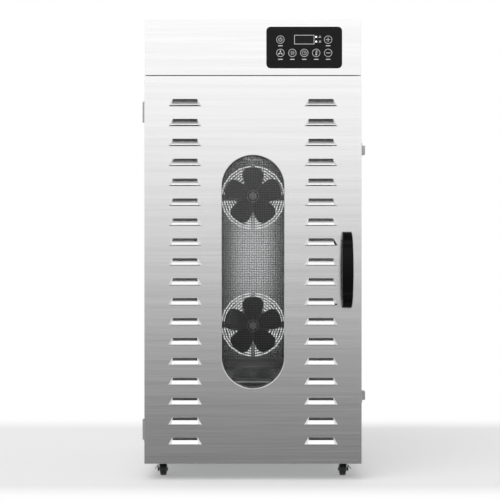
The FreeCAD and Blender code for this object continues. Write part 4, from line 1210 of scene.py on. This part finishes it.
@dataclass
class Print:
    """Flat ink shapes on an upright face, drawn about a middle point on that face."""

    shape: bmesh.types.BMesh
    middle: Vector
    thickness: float = 0.12 * MM
    disc_facets: int = 24
    ring_step: float = 8.0  # degrees that one facet of a ring turns by

    def stroke(self, start: tuple[float, float], end: tuple[float, float], width: float) -> None:
        """Adds a straight stroke.

        Args:
            start: its first end, across and up from the middle, in millimetres.
            end: its other end.
            width: its width in millimetres.
        """
        run = Vector(end) - Vector(start)
        half = (Vector(start) + Vector(end)) / 2 * MM
        place = Matrix.Translation(self.middle + Vector((half.x, 0, half.y)))
        turn = Matrix.Rotation(-math.atan2(run.y, run.x), 4, "Y")
        size = Matrix.Diagonal((run.length * MM, self.thickness, width * MM, 1))
        bmesh.ops.create_cube(self.shape, size=1, matrix=place @ turn @ size)

    def disc(self, x: float, z: float, radius: float, stretch: float = 1.0, turn: float = 0.0) -> None:
        """Adds a filled disc, or an ellipse.

        Args:
            x: its middle, across, in millimetres.
            z: its middle, up, in millimetres.
            radius: its radius in millimetres.
            stretch: how much longer it is along its own x.
            turn: anticlockwise turn of the ellipse in degrees.
        """
        place = Matrix.Translation(self.middle + Vector((x * MM, 0, z * MM)))
        tilt = Matrix.Rotation(-math.radians(turn), 4, "Y")
        size = Matrix.Diagonal((stretch, 1, 1, 1))
        upright = Matrix.Rotation(math.pi / 2, 4, "X")
        bmesh.ops.create_cone(self.shape, cap_ends=True, segments=self.disc_facets, radius1=radius * MM,
                              radius2=radius * MM, depth=self.thickness,
                              matrix=place @ tilt @ size @ upright)

    def ring(self, radius: float, width: float, first: float = 0.0, sweep: float = 360.0) -> None:
        """Adds a ring, or part of one.

        Args:
            radius: its inner radius in millimetres.
            width: its width in millimetres.
            first: where it starts, in degrees anticlockwise from +X.
            sweep: how far it runs, in degrees.
        """
        outline = bmesh.new()
        turn = Matrix.Rotation(-math.radians(first), 3, "Y")
        corners = []
        for reach, depth in ((radius, -0.5), (radius + width, -0.5), (radius + width, 0.5), (radius, 0.5)):
            corners.append(outline.verts.new(turn @ Vector((reach * MM, depth * self.thickness, 0))))
        edges = [outline.edges.new((corners[at], corners[at - 1])) for at in range(4)]
        whole = sweep >= 360.0
        bmesh.ops.spin(outline, geom=corners + edges, cent=(0, 0, 0), axis=(0, -1, 0), dvec=(0, 0, 0),
                       angle=math.radians(sweep), steps=round(sweep / self.ring_step), use_merge=whole)
        if not whole:
            ends = [edge for edge in outline.edges if edge.is_boundary]
            bmesh.ops.holes_fill(outline, edges=ends, sides=4)
        bmesh.ops.recalc_face_normals(outline, faces=outline.faces)
        bmesh.ops.translate(outline, vec=self.middle, verts=outline.verts)
        loose = bpy.data.meshes.new("ring")
        outline.to_mesh(loose)
        outline.free()
        self.shape.from_mesh(loose)
        bpy.data.meshes.remove(loose)


@dataclass
class ControlPanel:
    """Key panel: eased moulding, round keys with plain printed signs, display outline and diodes."""

    edge: float = 0.5 * MM
    key_radius: float = 8.4 * MM
    key_rim: float = 0.3 * MM
    cap_depth: float = 3.0 * MM
    flange: float = 1.4 * MM
    flange_depth: float = 1.0 * MM
    stem: float = 2.4 * MM
    key_facets: int = 48
    diode_x: float = 23.6 * MM
    diode_size: tuple[float, float, float] = (3.4 * MM, 0.3 * MM, 3.2 * MM)
    diode_corner: float = 0.8 * MM
    sign_x: float = 31.0 * MM
    # The prints' own sizes, all in millimetres.
    ring_radius: float = 7.0
    ring_width: float = 0.9
    line: float = 1.1
    fine_line: float = 0.8
    fine_ring: float = 0.7
    reach: float = 4.2
    small_reach: float = 2.7
    bar_length: float = 9.0
    bar_width: float = 1.7
    bar_drop: float = 12.6
    upper_bar_drop: float = 12.0
    outline: tuple[float, float] = (39.8, 18.4)
    outline_line: float = 1.0
    rows: tuple[float, float] = (5.5, -3.8)

    def build(self) -> Pieces:
        """Makes panel, keys and prints.

        Returns:
            The new pieces.
        """
        pieces = [eased_copy("control_panel", self.edge)]
        for symbol in Symbol:
            pieces.append(self.key(symbol))
            pieces.append(self.key_print(symbol))
        pieces.append(self.panel_print())
        pieces.append(self.diodes())
        return pieces

    def key(self, symbol: Symbol) -> bpy.types.Object:
        """Makes a turned key cap with a softened rim, and its flange behind.

        Args:
            symbol: which key.

        Returns:
            The key's cap.
        """
        node = symbol.value
        low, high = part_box(node)
        depth = high.y - low.y
        collar, collar_back = self.key_radius + self.flange, self.cap_depth + self.flange_depth
        profile = [(0.0, 0.0), (0.0, self.key_radius - self.key_rim), (self.key_rim, self.key_radius),
                   (self.cap_depth, self.key_radius), (self.cap_depth, collar), (collar_back, collar),
                   (collar_back, self.stem), (depth, self.stem), (depth, 0.0)]
        shape = bmesh.new()
        spin_profile(shape, profile, front_of(node), Vector((0, 1, 0)), self.key_facets)
        return add_piece(node + ".cap", BODY_OF[node], shape, KEY_BLACK, node)

    def key_print(self, symbol: Symbol) -> bpy.types.Object:
        """Prints a key's ring and its plain sign, drawn from the key's middle in millimetres.

        Args:
            symbol: which key.

        Returns:
            The key's print.
        """
        node = symbol.value
        shape = bmesh.new()
        ink = Print(shape, front_of(node))
        ink.ring(self.ring_radius, self.ring_width)
        if symbol is Symbol.POWER:
            ink.ring(2.8, self.line, 125.0, 290.0)
            ink.stroke((0, 0.6), (0, 4.8), self.line)
        elif symbol in (Symbol.PLUS, Symbol.MINUS):
            for turn in (0, 90) if symbol is Symbol.PLUS else (0,):
                ink.stroke(ray(turn, -self.reach), ray(turn, self.reach), self.line)
        elif symbol is Symbol.FAN:
            for turn in (90, 210, 330):
                ink.disc(*ray(turn, 2.9), 1.25, 1.75, turn)
        elif symbol is Symbol.LAMP:
            ink.ring(1.9, self.fine_ring)
            for turn in range(0, 360, 60):
                ink.stroke(ray(turn, 3.4), ray(turn, 5.0), self.fine_line)
        elif symbol is Symbol.TIMER:
            ink.ring(3.6, self.fine_ring)
            ink.stroke((0, 0), (0, 2.8), self.fine_line)
            ink.stroke((-0.3, 0), (2.4, 0), self.fine_line)
        elif symbol is Symbol.TEMPERATURE:
            ink.disc(0, -2.8, 1.9)
            ink.stroke((0, -2.6), (0, 4.6), 1.5)
            for height in (0.6, 2.4, 4.2):
                ink.stroke((1.6, height), (3.2, height), 0.6)
        return add_piece(node + ".print", BODY_OF[node], shape, INK)

    def panel_print(self) -> bpy.types.Object:
        """Prints a plain bar under each key, the display's outline and two small signs beside the diodes.

        Returns:
            The panel's print.
        """
        shape = bmesh.new()
        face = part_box("control_panel")[0].y
        for symbol in Symbol:
            middle = middle_of(symbol.value)
            ink = Print(shape, Vector((middle.x, face, middle.z)))
            half = self.bar_length / 2
            drop = self.upper_bar_drop if symbol in (Symbol.POWER, Symbol.PLUS) else self.bar_drop
            ink.stroke((-half, -drop), (half, -drop), self.bar_width)
        display = front_of("display_lens")
        ink = Print(shape, display)
        width, height = self.outline
        line = self.outline_line
        across, up = (width - line) / 2, (height - line) / 2
        for side in (-1, 1):
            ink.stroke((-width / 2, side * up), (width / 2, side * up), line)
            ink.stroke((side * across, -up + line / 2), (side * across, up - line / 2), line)
        three_arms, cross = ((90, 210, 330), 0.0), ((45, 135), -self.small_reach)
        for height, (turns, tail) in zip(self.rows, (three_arms, cross)):
            sign = Print(shape, Vector((display.x + self.sign_x, face, display.z + height * MM)))
            for turn in turns:
                sign.stroke(ray(turn, tail), ray(turn, self.small_reach), self.line)
        return add_piece("panel_print", "cabinet", shape, INK)

    def diodes(self) -> bpy.types.Object:
        """Makes the two small lit windows beside the display.

        Returns:
            The new piece.
        """
        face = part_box("control_panel")[0].y
        display = middle_of("display_lens")
        depth = self.diode_size[1]
        shape = bmesh.new()
        for height in self.rows:
            place = Matrix.Translation((display.x + self.diode_x, face, display.z + height * MM))
            bmesh.ops.create_cube(shape, size=1, matrix=place @ Matrix.Diagonal((*self.diode_size, 1)))
        corners = [edge for edge in shape.edges if abs((edge.verts[0].co - edge.verts[1].co).y) > depth / 2]
        bmesh.ops.bevel(shape, geom=corners, offset=self.diode_corner, segments=3, profile=0.5,
                        affect="EDGES", material=-1)
        return add_piece("diode_windows", "cabinet", shape, LitWindow())


# ---- casters ---------------------------------------------------------------------------
@dataclass
class Casters:
    """Swivel casters: turned wheels, eased forks, plates and brake levers."""

    edge: float = 0.25 * MM
    crown: float = 1.8 * MM
    dish: float = 1.4 * MM
    hub: float = 4.2 * MM
    hub_slope: float = 0.8 * MM
    bore: float = 2.05 * MM
    rim_foot: float = 2.2 * MM  # where the dish meets the rim, inside the crown
    rim_width: float = 1.2 * MM
    tread_corner: tuple[float, float] = (0.5 * MM, 1.2 * MM)
    facets: int = 40

    def build(self) -> Pieces:
        """Makes the wheels and eases the steel parts.

        Returns:
            The new pieces.
        """
        places = ("front_left", "front_right", "rear_left", "rear_right")
        pieces = [eased_copy("caster_plates", self.edge, 1)]
        pieces += [eased_copy(f"caster_fork_{place}", self.edge, 1) for place in places]
        pieces += [eased_copy(f"brake_lever_{place}", self.edge, 1) for place in places[:2]]
        pieces += [self.wheel(f"caster_wheel_{place}") for place in places]
        return pieces

    def wheel(self, node: str) -> bpy.types.Object:
        """Turns one wheel: crowned tread, dished flanks and a raised hub round the axle.

        Args:
            node: the wheel's CAD node.

        Returns:
            The new piece.
        """
        low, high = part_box(node)
        half = (high.x - low.x) / 2
        radius = (high.z - low.z) / 2
        rim, dish = radius - self.crown, half - self.dish
        inward, outward = self.tread_corner
        right = [(half, self.bore), (half, self.hub), (dish, self.hub + self.hub_slope),
                 (dish, rim - self.rim_foot), (half, rim - self.rim_width), (half, rim),
                 (half - inward, rim + outward), (half - self.crown, radius)]
        profile = right + [(-along, out) for along, out in reversed(right)]
        shape = bmesh.new()
        spin_profile(shape, profile, (low + high) / 2, Vector((1, 0, 0)), self.facets, True)
        return add_piece(node + ".turned", BODY_OF[node], shape, WHEEL_BLACK, node)


# ---- studio ----------------------------------------------------------------------------
@dataclass
class Studio:
    """Pale floor, white surround, soft lamps and the camera."""

    eye: float = 0.417
    distance: float = 2.4
    view_height: float = 0.99
    sensor: float = 36.0
    horizon: float = 0.04
    aside: float = -0.006
    floor_half: float = 10.0
    ambient: float = 0.75
    # What glossy rays meet, as (angle in degrees, brightness) pairs: the room by elevation times the
    # boxes by the turn from straight behind the cabinet, and ahead of the door the cards by elevation.
    room: Stops = (
        (-90, 0.5), (-12, 0.55), (2, 0.62), (14, 0.9), (45, 0.95), (70, 0.9), (80, 0.1), (90, 0.03))
    boxes: Stops = ((0, 0.78), (40, 0.85), (55, 1.4), (105, 1.4), (120, 1.0), (180, 1.0))
    cards: Stops = (
        (-90, 0.06), (-50, 0.08), (-36, 0.5), (-26, 0.5), (-18, 0.1), (-6, 0.12), (0, 0.56), (6, 1.19),
        (16, 1.15), (25, 1.7), (37, 1.7), (41, 0.03))
    cards_from: tuple[float, float] = (145.0, 160.0)
    sun: float = 1.1
    sun_from: tuple[float, float, float] = (-0.9, -1.4, 2.2)
    sun_spread: float = 50.0
    strip_width: float = 100 * MM
    strip_length: float = 210 * MM
    strip_middle: float = 0.448
    strip_gap: float = 8 * MM
    strip_power: float = 0.05
    lamp_share: float = 0.8
    lamp_gap: float = 1 * MM
    lamp_power: float = 0.8

    def build(self) -> Pieces:
        """Makes floor, surround, lamps and camera.

        Returns:
            The floor.
        """
        self.surround()
        self.soft_key()
        self.chamber_strip()
        self.chamber_lamp()
        self.camera()
        return [self.floor()]

    def camera(self) -> None:
        """Looks level at the door, with a small rise of the frame."""
        lens = bpy.data.cameras.new("camera")
        lens.sensor_width = self.sensor
        lens.lens = lens.sensor_width * self.distance / self.view_height
        lens.shift_x = self.aside
        lens.shift_y = self.horizon
        eye = bpy.data.objects.new("camera", lens)
        door_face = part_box("header_fascia")[0].y
        eye.location = (0.0, door_face - self.distance, self.eye)
        eye.rotation_euler = (math.pi / 2, 0.0, 0.0)
        bpy.context.scene.collection.objects.link(eye)
        bpy.context.scene.camera = eye

    def floor(self) -> bpy.types.Object:
        """Lays the floor.

        Returns:
            The floor, which isn't part of the object.
        """
        shape = bmesh.new()
        bmesh.ops.create_grid(shape, x_segments=1, y_segments=1, size=self.floor_half)
        mesh = bpy.data.meshes.new("studio_floor")
        shape.to_mesh(mesh)
        shape.free()
        mesh.materials.append(StudioFloor().material())
        floor = bpy.data.objects.new("studio_floor", mesh)
        bpy.context.scene.collection.objects.link(floor)
        floor.visible_glossy = False
        return floor

    def soft_key(self) -> None:
        """Hangs a broad soft lamp far off, ahead of the door, above it and to its left."""
        light = bpy.data.lights.new("soft key", "SUN")
        light.energy = self.sun
        light.angle = math.radians(self.sun_spread)
        lamp = bpy.data.objects.new("soft key", light)
        lamp.rotation_mode = "QUATERNION"
        lamp.rotation_quaternion = Vector(self.sun_from).to_track_quat("Z", "Y")
        bpy.context.scene.collection.objects.link(lamp)
        lamp.visible_glossy = False

    def chamber_strip(self) -> None:
        """Stands a tall soft strip behind the door's pane, aimed at the rear wall."""
        pane_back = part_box("window_glass")[1].y
        light = bpy.data.lights.new("chamber strip", "AREA")
        light.shape = "RECTANGLE"
        light.size = self.strip_width
        light.size_y = self.strip_length
        light.energy = self.strip_power
        strip = bpy.data.objects.new("chamber strip", light)
        strip.location = (0.0, pane_back + self.strip_gap, self.strip_middle)
        strip.rotation_euler = (math.pi / 2, 0.0, 0.0)
        bpy.context.scene.collection.objects.link(strip)
        strip.visible_camera = False

    def chamber_lamp(self) -> None:
        """Switches on the lamp in the chamber's roof."""
        low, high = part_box("chamber_lamp")
        light = bpy.data.lights.new("chamber lamp", "AREA")
        light.shape = "DISK"
        light.size = (high.x - low.x) * self.lamp_share
        light.energy = self.lamp_power
        lamp = bpy.data.objects.new("chamber lamp", light)
        lamp.location = ((low.x + high.x) / 2, (low.y + high.y) / 2, low.z - self.lamp_gap)
        bpy.context.scene.collection.objects.link(lamp)
        lamp.visible_camera = False

    def by_height(self, stops: Stops) -> Stops:
        """Turns elevations in degrees into shares of the way from straight down to straight up."""
        return [((math.sin(math.radians(elevation)) + 1) / 2, bright) for elevation, bright in stops]

    def ramp(self, tree: bpy.types.NodeTree, share: bpy.types.NodeSocket,
             stops: Stops) -> bpy.types.NodeSocket:
        """Brightness of the mirrored room along a share from 0 to 1.

        Args:
            tree: the world's node tree.
            share: where the direction lies.
            stops: (share, brightness) pairs, lowest first.

        Returns:
            The colour socket.
        """
        card = add_node(tree, "ShaderNodeValToRGB", {"Fac": share})
        elements = card.color_ramp.elements
        while len(elements) < len(stops):
            elements.new(0.5)
        for element, (position, bright) in zip(elements, stops):
            element.position = position
            element.color = (bright, bright, bright, 1.0)
        return card.outputs["Color"]

    def surround(self) -> None:
        """Makes the world: white for the eye, and for metal a pale room with cards ahead of the door."""
        world = bpy.data.worlds.new("studio")
        world.use_nodes = True
        tree = world.node_tree
        tree.nodes.clear()
        way = add_node(tree, "ShaderNodeTexCoord")
        parts = add_node(tree, "ShaderNodeSeparateXYZ", {0: way.outputs["Generated"]})
        level = add_node(tree, "ShaderNodeMapRange", {
            "Value": parts.outputs["Z"], "From Min": -1.0, "From Max": 1.0}).outputs["Result"]
        turn = add_node(tree, "ShaderNodeMath", {
            0: parts.outputs["X"], 1: parts.outputs["Y"]}, operation="ARCTAN2")
        aside = add_node(tree, "ShaderNodeMath", {0: turn.outputs[0]}, operation="ABSOLUTE")
        ahead = add_node(tree, "ShaderNodeMapRange", {
            "Value": aside.outputs[0], "From Min": math.radians(self.cards_from[0]),
            "From Max": math.radians(self.cards_from[1])}, interpolation_type="SMOOTHSTEP")
        round_share = add_node(tree, "ShaderNodeMapRange", {
            "Value": aside.outputs[0], "From Max": math.pi}).outputs["Result"]
        boxes = self.ramp(tree, round_share, [(at / 180, bright) for at, bright in self.boxes])
        by_height = self.ramp(tree, level, self.by_height(self.room))
        room = add_node(tree, "ShaderNodeVectorMath", {
            0: by_height, 1: boxes}, operation="MULTIPLY").outputs[0]
        cards = self.ramp(tree, level, self.by_height(self.cards))
        mirror = add_node(tree, "ShaderNodeMix", {
            0: ahead.outputs["Result"], 6: room, 7: cards}, data_type="RGBA")
        sight = add_node(tree, "ShaderNodeLightPath")
        mirrored = add_node(tree, "ShaderNodeMix", {
            0: sight.outputs["Is Glossy Ray"], 6: (self.ambient,) * 3 + (1.0,), 7: mirror.outputs[2]},
            data_type="RGBA")
        clear = add_node(tree, "ShaderNodeMath", {
            0: sight.outputs["Is Camera Ray"], 1: sight.outputs["Is Transmission Ray"]}, operation="MAXIMUM")
        seen = add_node(tree, "ShaderNodeMix", {
            0: clear.outputs[0], 6: mirrored.outputs[2], 7: (1.0, 1.0, 1.0, 1.0)}, data_type="RGBA")
        light = add_node(tree, "ShaderNodeBackground", {"Color": seen.outputs[2], "Strength": 1.0})
        add_node(tree, "ShaderNodeOutputWorld", {"Surface": light.outputs[0]})
        bpy.context.scene.world = world


# ---- all together ----------------------------------------------------------------------
def dress_nodes() -> None:
    """Gives every CAD node its slot's finish."""
    for node, piece in NODES.items():
        piece.data.materials.clear()
        piece.data.materials.append(SLOT_FINISH[SLOT_OF[node]].material())


def main() -> None:
    """Builds the scene in order."""
    logging.basicConfig(level=logging.INFO, format="%(message)s")
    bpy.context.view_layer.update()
    bpy.context.scene.view_settings.view_transform = "Standard"
    dress_nodes()
    assemblies = [Studio(), Cabinet(), Door(), FanGuard(), Impeller("lower"), Impeller("upper"), Motors(),
                  TrayDecks(), ControlPanel(), Casters()]
    for assembly in assemblies:
        for piece in assembly.build():
            logging.info("%s: %s", type(assembly).__name__, piece.name)
    bpy.context.view_layer.update()


if __name__ == "__main__":
    main()
